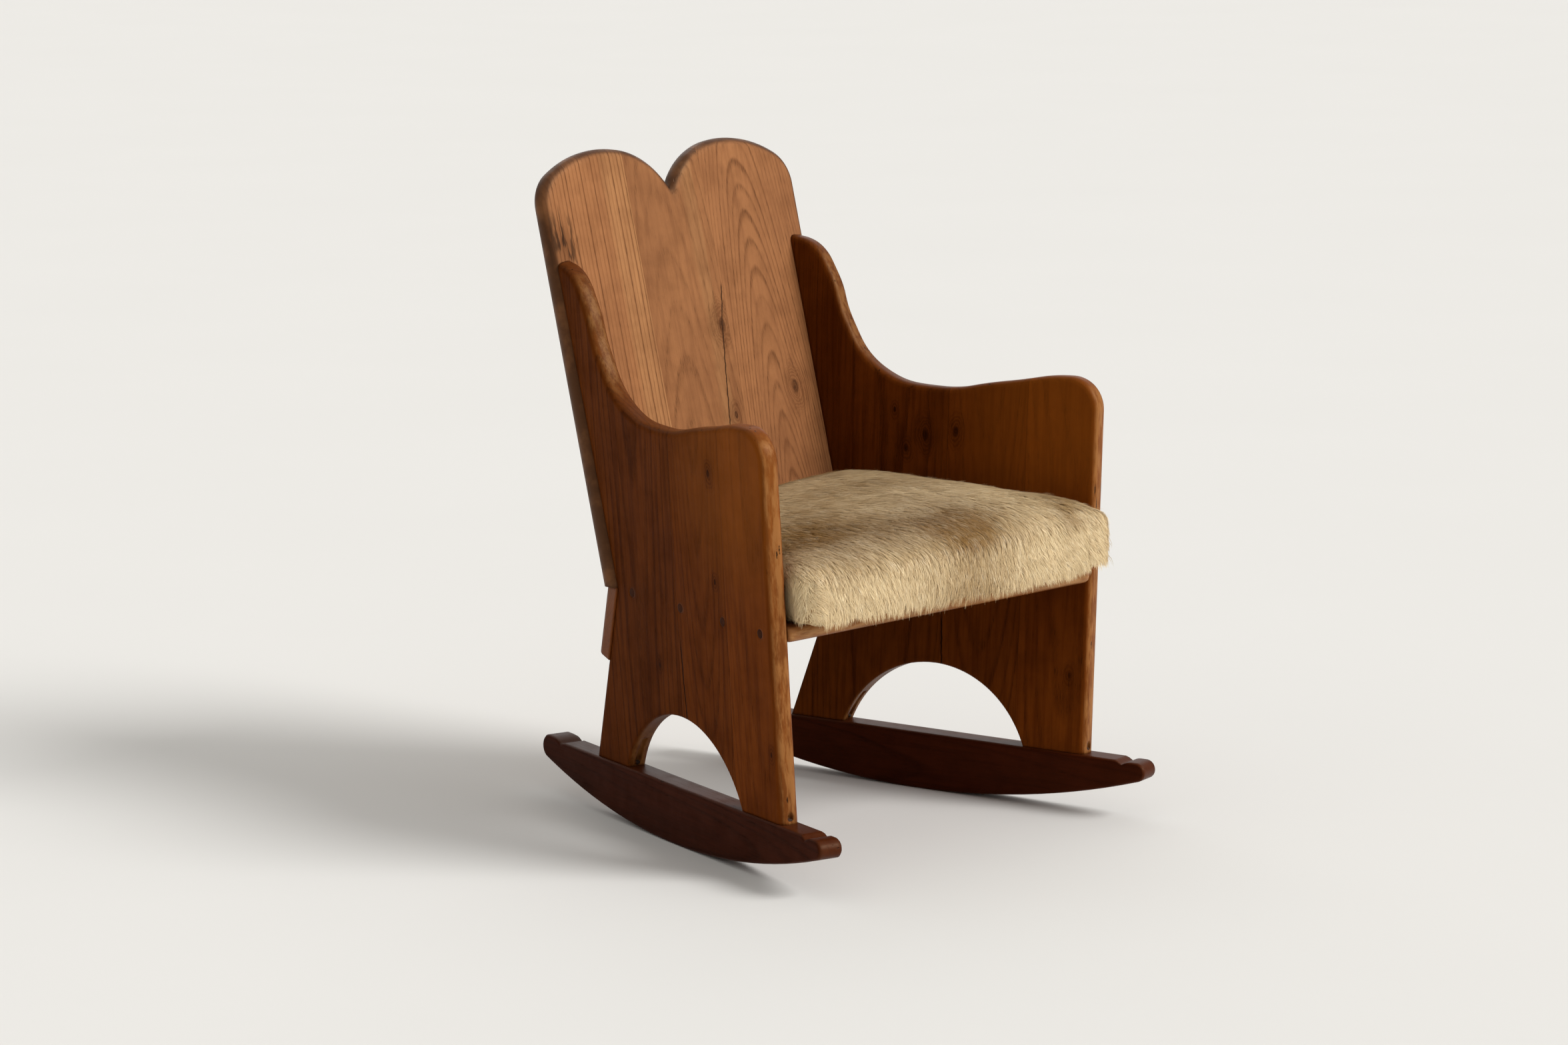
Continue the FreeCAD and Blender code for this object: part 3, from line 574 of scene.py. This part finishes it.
class CHAIR_OT_dress_sides(bpy.types.Operator):
    """Put dark red-brown wood with worn edges on the side panels and the lower rail"""

    bl_idname = "chair.dress_sides"
    bl_label = "Dress the sides"

    def execute(self, context):
        figures = {
            "rear": {"pith": (-0.33, 0.10), "taper": 0.03, "spacing": 0.0065, "contrast": 0.5},
            "middle": {"pith": (-0.17, 0.07), "taper": 0.06, "spacing": 0.006, "contrast": 0.42},
            "front": {"pith": (-0.02, 0.16), "taper": 0.03, "spacing": 0.006, "contrast": 0.4},
        }
        depths = {"rear": 0.60, "middle": 0.70, "front": 0.82}
        knots = {
            "left_front": ((-0.012, 0.090, 0.003),),
            "left_middle": ((-0.134, 0.299, 0.003), (-0.135, 0.441, 0.004)),
            "left_rear": ((-0.289, 0.164, 0.003),),
            "right_front": ((-0.025, 0.102, 0.003),),
            "right_middle": ((-0.223, 0.4215, 0.005),),
            "right_rear": ((-0.323, 0.446, 0.003), (-0.274, 0.417, 0.006), (-0.304, 0.3935, 0.004)),
        }
        cracks = {
            "left_middle": ((-0.2229, 0.075, -0.2300, 0.205),),
            "right_middle": ((-0.2335, 0.165, -0.2305, 0.075),),
        }
        for number, side in enumerate(("left", "right")):
            place = board_place(SIDE_TURN, SIDE_FOOT, mirrored=side == "left")
            for step, (board, figure) in enumerate(figures.items()):
                # Their front faces are lighter, partly from rubbing and partly as painted light.
                key = f"{side}_{board}"
                # Each board gets a painted pool of light near its front top.
                give(f"{side}_side_{board}_board", wood(
                    f"{side.title()} side {board} plank", place, shaded(SIDE_TONES, depths[board]),
                    100 + 10 * number + step, knots=knots[key], cracks=cracks.get(key, ()),
                    seams=GLUE_LINES, seam_depth=0.45, glow=(-0.09, 0.44, 0.20, 0.35), wear=0.4,
                    front_wear=0.75, nicks=0.9, pores=0.4, mottle=0.5, streak=0.5, sheen=0.02,
                    **figure))
        give("lower_back_rail", wood(
            "Lower rail", board_place(RAIL_TURN, WAIST), SIDE_TONES, 140, pith=(0.0, 0.09),
            nicks=0.6, pores=0.35, gloss=0.36))
        return {"FINISHED"}


class CHAIR_OT_dress_rockers(bpy.types.Operator):
    """Put the darkest, most polished wood on the rockers"""

    bl_idname = "chair.dress_rockers"
    bl_label = "Dress the rockers"

    def execute(self, context):
        for number, side in enumerate(("left", "right")):
            place = board_place(ROCKER_TURN, SIDE_FOOT, mirrored=side == "left")
            give(f"{side}_rocker", wood(
                f"{side.title()} rocker wood", place, ROCKER_TONES, 160 + number,
                pith=(-0.05, 0.08), taper=0.04, spacing=0.0052, contrast=0.45, pores=0.3,
                wear=0.45, nicks=0.8, gloss=0.42, sheen=0.05))
        return {"FINISHED"}


class CHAIR_OT_dress_seat(bpy.types.Operator):
    """Put wood on the seat boards, which show at the front edge and from below"""

    bl_idname = "chair.dress_seat"
    bl_label = "Dress the seat"

    def execute(self, context):
        place = board_place(SEAT_TURN, Vector((0, 0, SEAT_TOP)))
        piths = {"front": 0.18, "middle": 0.04, "rear": -0.08}
        for number, (board, pith) in enumerate(piths.items()):
            # The front edge is lighter, partly from rubbing and partly as painted light.
            give(f"seat_{board}_board", wood(
                f"Seat {board} plank", place, SEAT_TONES, 180 + number, pith=(pith, 0.07),
                taper=0.04, spacing=0.005, contrast=0.4, pores=0.35, wear=0.6, front_wear=0.6,
                nicks=0.7, gloss=0.34))
        return {"FINISHED"}


class CHAIR_OT_dress_fastenings(bpy.types.Operator):
    """Put end grain on the pegs and dark iron on the nails"""

    bl_idname = "chair.dress_fastenings"
    bl_label = "Dress the pegs and nails"

    def execute(self, context):
        iron = Finish("Old iron")
        place = iron.add("TexCoord", {}, "Object")
        scale = iron.noise(place, 900.0, 4.0, 0.6)
        rust = iron.rise(iron.noise(place, 240.0, 3.0), 0.45, 0.65)
        colour = iron.mix(scale, linear(0x2A2523), linear(0x4B423C))
        colour = iron.mix(iron.times(rust, 0.6), colour, linear(0x5A3320))
        material = iron.close(Base_Color=colour, Metallic=0.8, Normal=iron.bump(scale, 0.5, 0.0003),
                              Roughness=iron.rise(scale, 0.2, 0.8, 0.45, 0.7))
        for number, side in enumerate(("left", "right")):
            for kind in ("back_nails", "rail_nails", "foot_nails"):
                give(f"{side}_{kind}", material)
            peg_place = board_place(PEG_TURN, SIDE_FOOT, mirrored=side == "left")
            give(f"{side}_seat_pegs", wood(
                f"{side.title()} peg wood", peg_place, PEG_TONES, 200 + number, pith=(0.02, 0.24),
                spacing=0.0016, sway=0.004, contrast=0.5, wear=0.0, rim=0.002, gloss=0.5,
                sheen=0.05))
        return {"FINISHED"}


class CHAIR_OT_make_cushion(bpy.types.Operator):
    """Fill the hide cushion, seam its front corners and grow the hair on it"""

    bl_idname = "chair.make_cushion"
    bl_label = "Make the cushion"

    def execute(self, context):
        sizes = context.scene.chair_sizes
        colours = context.scene.chair_colours
        cushion = filled_cushion(context, sizes)
        cushion.data.materials.append(hide_material(colours))
        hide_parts("cushion_hide_cover", "cushion_filling", "cushion_base_cloth")
        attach(cushion, "cushion")
        coat = hair_material(colours)
        area = grown_area(cushion.data)
        hide = BVHTree.FromPolygons([vertex.co for vertex in cushion.data.vertices],
                                    [face.vertices for face in cushion.data.polygons])
        for number in range(HAIR_PARTS):
            part = hair_part(context, tufts(cushion.data, area, hide, sizes, number), sizes, number)
            part.data.materials.append(coat)
            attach(part, "cushion")
        return {"FINISHED"}


def link_mesh(context, name, mesh):
    """A new object in the scene that shows a mesh."""
    piece = bpy.data.objects.new(name, mesh)
    context.scene.collection.objects.link(piece)
    return piece


def evaluated_mesh(context, piece):
    """The piece's mesh with its modifiers applied."""
    graph = context.evaluated_depsgraph_get()
    graph.update()
    return bpy.data.meshes.new_from_object(piece.evaluated_get(graph))


WELD_DISTANCE = 0.00001


def cushion_block(sizes):
    """The cushion's own outline as one closed block, a little small so that it can swell."""
    block = bmesh.new()
    block.from_mesh(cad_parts["cushion_hide_cover"].data)
    bmesh.ops.remove_doubles(block, verts=block.verts, dist=WELD_DISTANCE)
    found = bmesh.ops.convex_hull(block, input=block.verts)
    spare = [item for item in found["geom_interior"] + found["geom_unused"]
             if isinstance(item, bmesh.types.BMVert)]
    bmesh.ops.delete(block, geom=spare, context="VERTS")
    low = Vector([min(v.co[i] for v in block.verts) for i in range(3)])
    high = Vector([max(v.co[i] for v in block.verts) for i in range(3)])
    middle = (low + high) / 2
    middle.z = low.z
    shrink = Vector([1 - sizes.hide_swell / (high[i] - low[i]) for i in range(3)])
    bmesh.ops.translate(block, verts=block.verts, vec=-middle)
    bmesh.ops.scale(block, verts=block.verts, vec=shrink)
    bmesh.ops.translate(block, verts=block.verts, vec=middle)
    bmesh.ops.recalc_face_normals(block, faces=block.faces)
    mesh = bpy.data.meshes.new("Cushion block")
    block.to_mesh(mesh)
    block.free()
    return mesh


CHAIR_GAP = 0.0006              # least gap from the cushion to the wood
PANEL_ROUNDING = 0.004
SEAT_ROUNDING = 0.002


def within_chair(point):
    """Keep a point of the cushion clear of the sides, the back and the seat."""
    x, y, z = point
    if y > PANEL_FRONT_Y - PANEL_ROUNDING:
        limit = inner_face_x(y, z) - CHAIR_GAP
        x = max(-limit, min(limit, x))
    y = min(y, back_face_y(z) - CHAIR_GAP)
    if y > SEAT_FRONT_Y - SEAT_ROUNDING:
        z = max(z, SEAT_TOP + CHAIR_GAP)
    return Vector((x, y, z))


FILLING_FRAMES = 20


def filled_cushion(context, sizes):
    """Blow the block up as stuffing does, then settle it in the chair."""
    piece = link_mesh(context, "hide_cushion", cushion_block(sizes))
    grid = piece.modifiers.new("Grid", "REMESH")
    grid.mode = "VOXEL"
    grid.voxel_size = sizes.hide_voxel
    piece.data = evaluated_mesh(context, piece)
    piece.modifiers.clear()
    start = [vertex.co.copy() for vertex in piece.data.vertices]
    cloth = piece.modifiers.new("Filling", "CLOTH")
    cloth.settings.quality = 6
    cloth.settings.mass = 0.3
    cloth.settings.tension_stiffness = 18
    cloth.settings.compression_stiffness = 18
    cloth.settings.bending_stiffness = 1.5
    cloth.settings.use_pressure = True
    cloth.settings.uniform_pressure_force = 4
    cloth.settings.effector_weights.gravity = 0
    cloth.point_cache.frame_start = 1
    cloth.point_cache.frame_end = FILLING_FRAMES
    for step in range(1, FILLING_FRAMES + 1):
        context.scene.frame_set(step)
    swollen = evaluated_mesh(context, piece)
    piece.modifiers.clear()
    context.scene.frame_set(1)
    for vertex, rest in zip(swollen.vertices, start):
        move = vertex.co - rest
        if move.length > sizes.hide_swell:
            vertex.co = rest + move.normalized() * sizes.hide_swell
    piece.data = swollen
    finer = piece.modifiers.new("Finer", "SUBSURF")
    finer.levels = finer.render_levels = 1
    piece.data = evaluated_mesh(context, piece)
    piece.modifiers.clear()
    ways = [(vertex.co.copy(), vertex.normal.copy()) for vertex in piece.data.vertices]
    for vertex, (place, normal) in zip(piece.data.vertices, ways):
        vertex.co = within_chair(settled(place, normal))
    piece.data.polygons.foreach_set("use_smooth", [True] * len(piece.data.polygons))
    return piece


def eased(value, start, reach):
    """Zero up to a start, one from a reach past it, and smooth between."""
    share = max(0.0, min(1.0, (value - start) / reach))
    return share * share * (3 - 2 * share)


FRONT_CORNERS = ((-0.2825, -0.2815), (0.2825, -0.2815))
OPEN_SEAM = FRONT_CORNERS[0]  # the coat parts at the left seam and covers the right one
SLACK_WAVES = ((14.0, 0.0022), (45.0, 0.0007))  # waves a metre, and their height
CORNER_OUT = 0.016        # how far the right front corner stands out past the side
CORNER_LIFT = 0.006
FRONT_SAG = 0.007         # how far the left front edge hangs over the seat
RIGHT_FULLNESS = 0.013
MIDDLE_FULLNESS = 0.009
FRONT_FULLNESS = 0.005
SEAM_DEPTH = 0.004
SEAM_WIDTH = 0.0045
SEAM_REACH = 0.02
SIDE_LEVEL = 0.8          # the level above which a face counts as top or underside


def settled(point, normal):
    """Where a point of the filled block lies in the chair, with the two front seams drawn in."""
    slack = sum(noise.noise(point * rate) * height for rate, height in SLACK_WAVES)
    moved = point + normal * slack
    ahead = eased(-point.y, 0.006 - PANEL_FRONT_Y, 0.03)
    rightward = eased(point.x, 0.20, 0.09)
    moved.x += CORNER_OUT * ahead * rightward
    low = 1 - eased(point.z, SEAT_TOP, 0.03)
    moved.z += CORNER_LIFT * low * rightward * eased(-point.y, 0.15, 0.12)
    sag = low * (1 - rightward) * eased(-point.y, 0.264, 0.015)
    moved.z -= FRONT_SAG * sag
    high = eased(point.z, SEAT_TOP, 0.06)
    fuller_right = eased(point.x, -0.15, 0.35)
    fuller_middle = max(0.0, 1 - ((point.y + 0.06) / 0.2) ** 2)
    moved.z += high * fuller_right * (RIGHT_FULLNESS + MIDDLE_FULLNESS * fuller_middle)
    moved.z += FRONT_FULLNESS * high * eased(-point.y, 0.15, 0.1)
    if abs(normal.z) < SIDE_LEVEL:
        for corner_x, corner_y in FRONT_CORNERS:
            away = math.hypot(point.x - corner_x, point.y - corner_y)
            if away < SEAM_REACH:
                moved = moved - normal * (SEAM_DEPTH * math.exp(-(away / SEAM_WIDTH) ** 2))
    return moved


def hide_material(colours):
    """The skin under the hair, seen between the locks and on the hidden sides, darkened in strands
    by painted shade.
    """
    hide = Finish("Hide skin")
    place = hide.add("TexCoord", {}, "Object")
    patch = hide.rise(hide.noise(place, 6.0, 3.0, 0.55), 0.5, 0.7, 0.0, 0.6)
    strand = hide.noise(hide.stretched(place, 1, 0.12, 0.25), 700.0, 3.0, 0.6)
    colour = hide.mix(hide.times(patch, 0.7), colours.pale_hair, colours.tan_hair)
    # Painted shade: strands of the dark root colour, for the shadow between the hairs.
    colour = hide.mix(hide.rise(strand, 0.65, 0.35), colour, colours.painted_root_shade)
    # Painted shade: a dark line in the crease of the open seam, where the coat parts.
    x, y, _ = hide.parts(place)
    away = hide.distance(hide.math("SUBTRACT", x, OPEN_SEAM[0]),
                         hide.math("SUBTRACT", y, OPEN_SEAM[1]))
    colour = hide.mix(hide.rise(away, 0.0065, 0.0045, 0.0, 0.8), colour, linear(0x5C3E20))
    return hide.close(Base_Color=colour, Roughness=hide.rise(strand, 0.2, 0.8, 0.75, 0.6),
                      Normal=hide.bump(strand, 0.9, 0.0012), Specular_IOR_Level=0.3)


HAIR_LAYERS = ("hair_along", "hair_shade", "hair_tan_and_top_shade")


def hair_material(colours):
    """Hair that painted shade darkens at its root, with pale and tan patches and a shade of its
    own.
    """
    hair = Finish("Hide hair")
    along, shade, patch = (hair.add("Attribute", {}, "Fac", attribute_name=layer)
                           for layer in HAIR_LAYERS)
    root = colours.painted_root_shade
    # Tan patches, mixed with painted shade that tans the top.
    colour = hair.mix(patch, colours.pale_hair, colours.tan_hair)
    colour = hair.mix(hair.rise(shade, 0.45, 1.0, 0.0, 0.4), colour, linear(0xFAEED2))
    colour = hair.mix(hair.rise(shade, 0.0, 0.55, 0.35, 0.0), colour, root)
    # Painted shade: each hair darkens toward its root, where the coat shades itself.
    colour = hair.mix(hair.rise(along, 0.0, 0.5, 0.3, 0.0), colour, root)
    gloss = hair.rise(shade, 0.0, 1.0, 0.42, 0.55)
    return hair.close(Base_Color=colour, Roughness=gloss, Specular_IOR_Level=0.3)


HAIR_PARTS = 7
HAIR_STEPS = 3
HAIR_HEIGHTS = (0.0007, 0.0011, 0.0013)  # above the hide at each step
HAIR_NARROWING = (0.95, 0.75, 0.15)  # width kept at each step
HAIR_SINK = 0.0004            # how deep a hair's root lies in the skin
HAIRS_IN_TUFT = 8
TUFT_GATHER = (0.0, 0.10, 0.28)  # share of the way to its tuft's middle at each step
TUFT_HALF_WIDTH, TUFT_HALF_LENGTH = 0.0016, 0.003
STRAY_SHARE, STRAY_HEIGHT = 0.01, 3.0  # tufts that stand up, and how far
COAT_WAY = (0.45, -0.75, -0.8)  # to the right, forward and down
COAT_FAN, COAT_HALF_WIDTH = 0.35, 0.28  # the coat turns outward toward the two ends
SWIRL = 0.7
FINE_SWIRL = (0.16, 0.12)     # to the side and ahead
PARTING, PARTING_REACH = 1.9, 0.03  # how the coat turns away from the open seam
BARE_SEAM = 0.004             # no hair starts nearer to the open seam
UPRIGHT_LEVEL = 0.7
HANGING_LEVEL, HANGING_PULL = -0.2, Vector((0, 0, -0.7))
SEAT_OVERHANG_Y = -0.274      # ahead of this, the underside shows past the seat
PATCH_WANDER = 0.045
TAN_PATCHES = (               # x, y, half width, half depth and strength
    (-0.17, -0.16, 0.13, 0.085, 1.05),
    (0.02, -0.24, 0.075, 0.07, 1.15),
    (0.02, -0.04, 0.15, 0.05, 0.45),
    (0.235, -0.245, 0.025, 0.04, 0.55),
)


def within_one(value):
    return min(1.0, max(0.0, value))


def hair_flow(point, normal):
    """The way the coat lies at a place: forward, down, and away from the open seam."""
    swirl = noise.noise(point * 5.0 + Vector((3.1, 0.7, 1.9)))
    swirl_fine = noise.noise(point * 24.0)
    way_x, way_y, way_z = COAT_WAY
    fan = COAT_FAN * point.x / COAT_HALF_WIDTH
    way = Vector((way_x + fan + SWIRL * swirl + FINE_SWIRL[0] * swirl_fine,
                  way_y + FINE_SWIRL[1] * swirl_fine, way_z))
    away = Vector((point.x - OPEN_SEAM[0], point.y - OPEN_SEAM[1], 0))
    if away.length < PARTING_REACH and abs(normal.z) < UPRIGHT_LEVEL:
        way += away.normalized() * (PARTING * (1 - away.length / PARTING_REACH))
    way -= normal * way.dot(normal)
    return way.normalized()


def grown_area(mesh):
    """The hide's triangles that carry long hair, and their weights."""
    mesh.calc_loop_triangles()
    triangles = []
    weights = []
    for triangle in mesh.loop_triangles:
        centre = triangle.center
        level = triangle.normal.z
        on_seat = centre.z < SEAT_TOP + 0.0008 and centre.y > SEAT_OVERHANG_Y
        if level < -0.35 or on_seat:
            continue
        if level > 0.3 or centre.y < PANEL_FRONT_Y + 0.02:
            triangles.append(triangle)
            weights.append(triangle.area)
    return triangles, weights


def lock_line(hide, place, normal, flow, length):
    """A lock's middle line over the hide: places, each with its normal and sideways direction."""
    line = [(place, normal, normal.cross(flow))]
    hanging = False
    for _ in range(HAIR_STEPS):
        ahead = place + flow * (length / HAIR_STEPS)
        nearest, turned_normal, _, _ = hide.find_nearest(ahead)
        hanging = hanging or turned_normal.z < HANGING_LEVEL
        if hanging:
            place = ahead
            flow = (flow + HANGING_PULL).normalized()
        else:
            place, normal = nearest, turned_normal
            flow = (flow - normal * flow.dot(normal)).normalized()
        line.append((place, normal, normal.cross(flow)))
    return line


def tufts(mesh, area, hide, sizes, number):
    """The tufts of one part of the coat: middle line, shade, patch, length and height."""
    draw = random.Random(500 + number)
    found = []
    for triangle in draw.choices(area[0], weights=area[1], k=sizes.hair_count // HAIRS_IN_TUFT):
        first, second = draw.random(), draw.random()
        if first + second > 1:
            first, second = 1 - first, 1 - second
        corners = [mesh.vertices[index] for index in triangle.vertices]
        shares = (1 - first - second, first, second)
        root = sum((c.co * s for c, s in zip(corners, shares)), Vector())
        normal = sum((c.normal * s for c, s in zip(corners, shares)), Vector()).normalized()
        seam = math.hypot(root.x - OPEN_SEAM[0], root.y - OPEN_SEAM[1])
        if seam < BARE_SEAM and abs(normal.z) < UPRIGHT_LEVEL:
            continue
        flow = hair_flow(root, normal)
        flow = (flow + normal.cross(flow) * draw.gauss(0, 0.10)).normalized()
        patch = within_one(tan_and_top_shade(root, normal) + draw.gauss(0, 0.06))
        shade = within_one(0.45 + 0.35 * noise.noise(root * 60.0) + draw.gauss(0, 0.09))
        length = sizes.hair_length * draw.uniform(0.75, 1.25)
        height = draw.uniform(0.5, 1.4) if draw.random() > STRAY_SHARE else STRAY_HEIGHT
        found.append((lock_line(hide, root, normal, flow, length), shade, patch, length, height))
    return found


def tan_and_top_shade(root, normal):
    """How tan the coat is at a place: soft tan patches on the top, with painted shade that tans the
    top faces more and leaves the front paler.
    """
    aside = noise.noise(root * 9.0)
    ahead = noise.noise(root * 9.0 + Vector((5, 5, 5)))
    wander = root + Vector((aside, ahead, 0)) * PATCH_WANDER
    # Painted shade: the top faces get a tan share of their own.
    tan = 0.13 * eased(normal.z, 0.3, 0.6) + 0.15 * noise.noise(root * 16.0)
    for x, y, half_width, half_depth, strength in TAN_PATCHES:
        reach = ((wander.x - x) / half_width) ** 2 + ((wander.y - y) / half_depth) ** 2
        tan += strength * math.exp(-reach)
    # Painted shade: the share fades on faces that turn forward, so the front stays paler.
    return tan * (0.6 + 0.4 * eased(normal.z, 0.1, 0.7))


def hair_places(draw, lock):
    """The places along one hair of a tuft, from its root to its tip."""
    line, _, _, length, height = lock
    root, normal, aside = line[0]
    off = draw.gauss(0, TUFT_HALF_WIDTH)
    base = root + aside.cross(normal) * draw.gauss(0, TUFT_HALF_LENGTH)
    stretch = draw.uniform(0.85, 1.15)
    spread = draw.gauss(0, 0.05) * length / HAIR_STEPS
    raised = height * draw.uniform(0.5, 1.5)
    places = [base + aside * off - normal * HAIR_SINK]
    for step, (middle, up, side) in enumerate(line[1:]):
        sideways = off * (1 - TUFT_GATHER[step]) + spread * (step + 1)
        lifted = up * (HAIR_HEIGHTS[step] * raised)
        place = base + (middle - root) * stretch + side * sideways + lifted
        places.append(within_chair(place))
    return places


def hair_part(context, locks, sizes, number):
    """One part of the coat: hairs that start as short root edges and are drawn out in steps."""
    draw = random.Random(900 + number)
    coat = bmesh.new()
    layers = coat.verts.layers
    along_layer, shade_layer, tan_and_top_shade_layer = [layers.float.new(name) for name in HAIR_LAYERS]
    hair_layer = layers.int.new("hair")
    hairs = []
    for lock in locks:
        line, shade, patch, _, _ = lock
        for _ in range(HAIRS_IN_TUFT):
            places = hair_places(draw, lock)
            across = line[0][2] * (sizes.hair_width * draw.uniform(0.6, 1.3) / 2)
            tint = within_one(shade + draw.gauss(0, 0.18))
            ends = []
            for edge_point in (places[0] + across, places[0] - across):
                vertex = coat.verts.new(edge_point)
                vertex[shade_layer], vertex[tan_and_top_shade_layer] = tint, patch
                vertex[hair_layer] = len(hairs)
                ends.append(vertex)
            coat.edges.new(ends)
            hairs.append(places)
    edges = coat.edges[:]
    for step in range(HAIR_STEPS):
        grown = bmesh.ops.extrude_edge_only(coat, edges=edges)
        fresh = {item for item in grown["geom"] if isinstance(item, bmesh.types.BMVert)}
        edges = [item for item in grown["geom"]
                 if isinstance(item, bmesh.types.BMEdge) and fresh.issuperset(item.verts)]
        for vertex in fresh:
            places = hairs[vertex[hair_layer]]
            vertex.co = places[step + 1] + (vertex.co - places[step]) * HAIR_NARROWING[step]
            vertex[along_layer] = (step + 1) / HAIR_STEPS
    for face in coat.faces:
        face.smooth = True
    layers.int.remove(hair_layer)
    mesh = bpy.data.meshes.new(f"hide_hair_{number}")
    coat.to_mesh(mesh)
    coat.free()
    return link_mesh(context, f"hide_hair_{number}", mesh)


LAMPS = (                       # name, place, power and spread in degrees
    ("Window", (2.2, -4.6, 4.0), 2.0, 24),
    ("Front", (1.8, -3.4, 2.1), 0.75, 40),
    ("Rear", (2.4, 3.2, 1.9), 0.45, 60),
)
FLOOR_HALF_WIDTH = 45.0
CAMERA_PLACE = (-4.330, -4.3285, 1.517)
CAMERA_TILT, CAMERA_TURN = 79.7, -44.7      # in degrees
LENS, SENSOR_WIDTH = 105.77, 36


class CHAIR_OT_make_studio(bpy.types.Operator):
    """Lay the floor and place the lamps and the camera"""

    bl_idname = "chair.make_studio"
    bl_label = "Make the studio"

    def execute(self, context):
        colours = context.scene.chair_colours
        ground = bmesh.new()
        bmesh.ops.create_grid(ground, x_segments=2, y_segments=2, size=FLOOR_HALF_WIDTH)
        mesh = bpy.data.meshes.new("Floor")
        ground.to_mesh(mesh)
        ground.free()
        floor = link_mesh(context, "studio_floor", mesh)
        paint = Finish("Studio floor")
        place = paint.add("TexCoord", {}, "Object")
        cloud = paint.times(paint.noise(place, 1.5, 3.0), 0.08)
        tone = paint.mix(cloud, colours.floor, linear(0xC8C6C2))
        matt = paint.close(Base_Color=tone, Roughness=0.9, Specular_IOR_Level=0.1)
        floor.data.materials.append(matt)
        for settings in LAMPS:
            lamp(*settings)
        context.scene.world = studio_world()
        camera = bpy.data.cameras.new("Camera")
        camera.lens = LENS
        camera.sensor_width = SENSOR_WIDTH
        camera.clip_end = 200
        viewer = bpy.data.objects.new("Camera", camera)
        viewer.location = CAMERA_PLACE
        viewer.rotation_euler = Euler((math.radians(CAMERA_TILT), 0, math.radians(CAMERA_TURN)))
        context.scene.collection.objects.link(viewer)
        context.scene.camera = viewer
        context.scene.view_settings.view_transform = "Standard"
        return {"FINISHED"}


SKY_HEIGHTS = (0.0, 0.6)        # from the horizon up
SKY_STRENGTHS = (0.2, 0.62)


def studio_world():
    """Soft light from above that fades toward the horizon."""
    sky = Nodes(bpy.data.worlds.new("Studio"))
    height = sky.parts(sky.add("TexCoord", {}, "Generated"))[2]
    strength = sky.rise(height, *SKY_HEIGHTS, *SKY_STRENGTHS)
    light = sky.add("Background", {"Color": (*linear(0xF4F3F0), 1), "Strength": strength})
    sky.add("OutputWorld", {"Surface": light})
    return sky.owner


def lamp(name, place, power, spread):
    """A lamp that lights the whole floor alike, from its place toward the middle."""
    light = bpy.data.lights.new(name, "SUN")
    light.energy = power
    light.angle = math.radians(spread)
    shining = bpy.data.objects.new(name, light)
    shining.location = place
    shining.rotation_euler = Vector(place).to_track_quat("Z", "Y").to_euler()
    bpy.context.scene.collection.objects.link(shining)


class CHAIR_PT_panel(bpy.types.Panel):
    """Lists the chair's sizes, colours and steps in the sidebar"""

    bl_idname = "CHAIR_PT_panel"
    bl_label = "Rocking chair"
    bl_space_type = "VIEW_3D"
    bl_region_type = "UI"
    bl_category = "Rocking chair"

    def draw(self, context):
        for group in (context.scene.chair_sizes, context.scene.chair_colours):
            for name in group.__annotations__:
                self.layout.prop(group, name)
        for step in STEPS:
            self.layout.operator(step.bl_idname)


STEPS = (
    CHAIR_OT_make_studio,
    CHAIR_OT_dress_back,
    CHAIR_OT_dress_sides,
    CHAIR_OT_dress_rockers,
    CHAIR_OT_dress_seat,
    CHAIR_OT_dress_fastenings,
    CHAIR_OT_make_cushion,
)
CLASSES = (ChairSizes, ChairColours, *STEPS, CHAIR_PT_panel)


def register():
    for item in CLASSES:
        bpy.utils.register_class(item)
    bpy.types.Scene.chair_sizes = PointerProperty(type=ChairSizes)
    bpy.types.Scene.chair_colours = PointerProperty(type=ChairColours)


def unregister():
    del bpy.types.Scene.chair_colours
    del bpy.types.Scene.chair_sizes
    for item in reversed(CLASSES):
        bpy.utils.unregister_class(item)


def main():
    register()
    for step in STEPS:
        group, name = step.bl_idname.split(".")
        getattr(getattr(bpy.ops, group), name)()


if __name__ == "__main__":
    main()
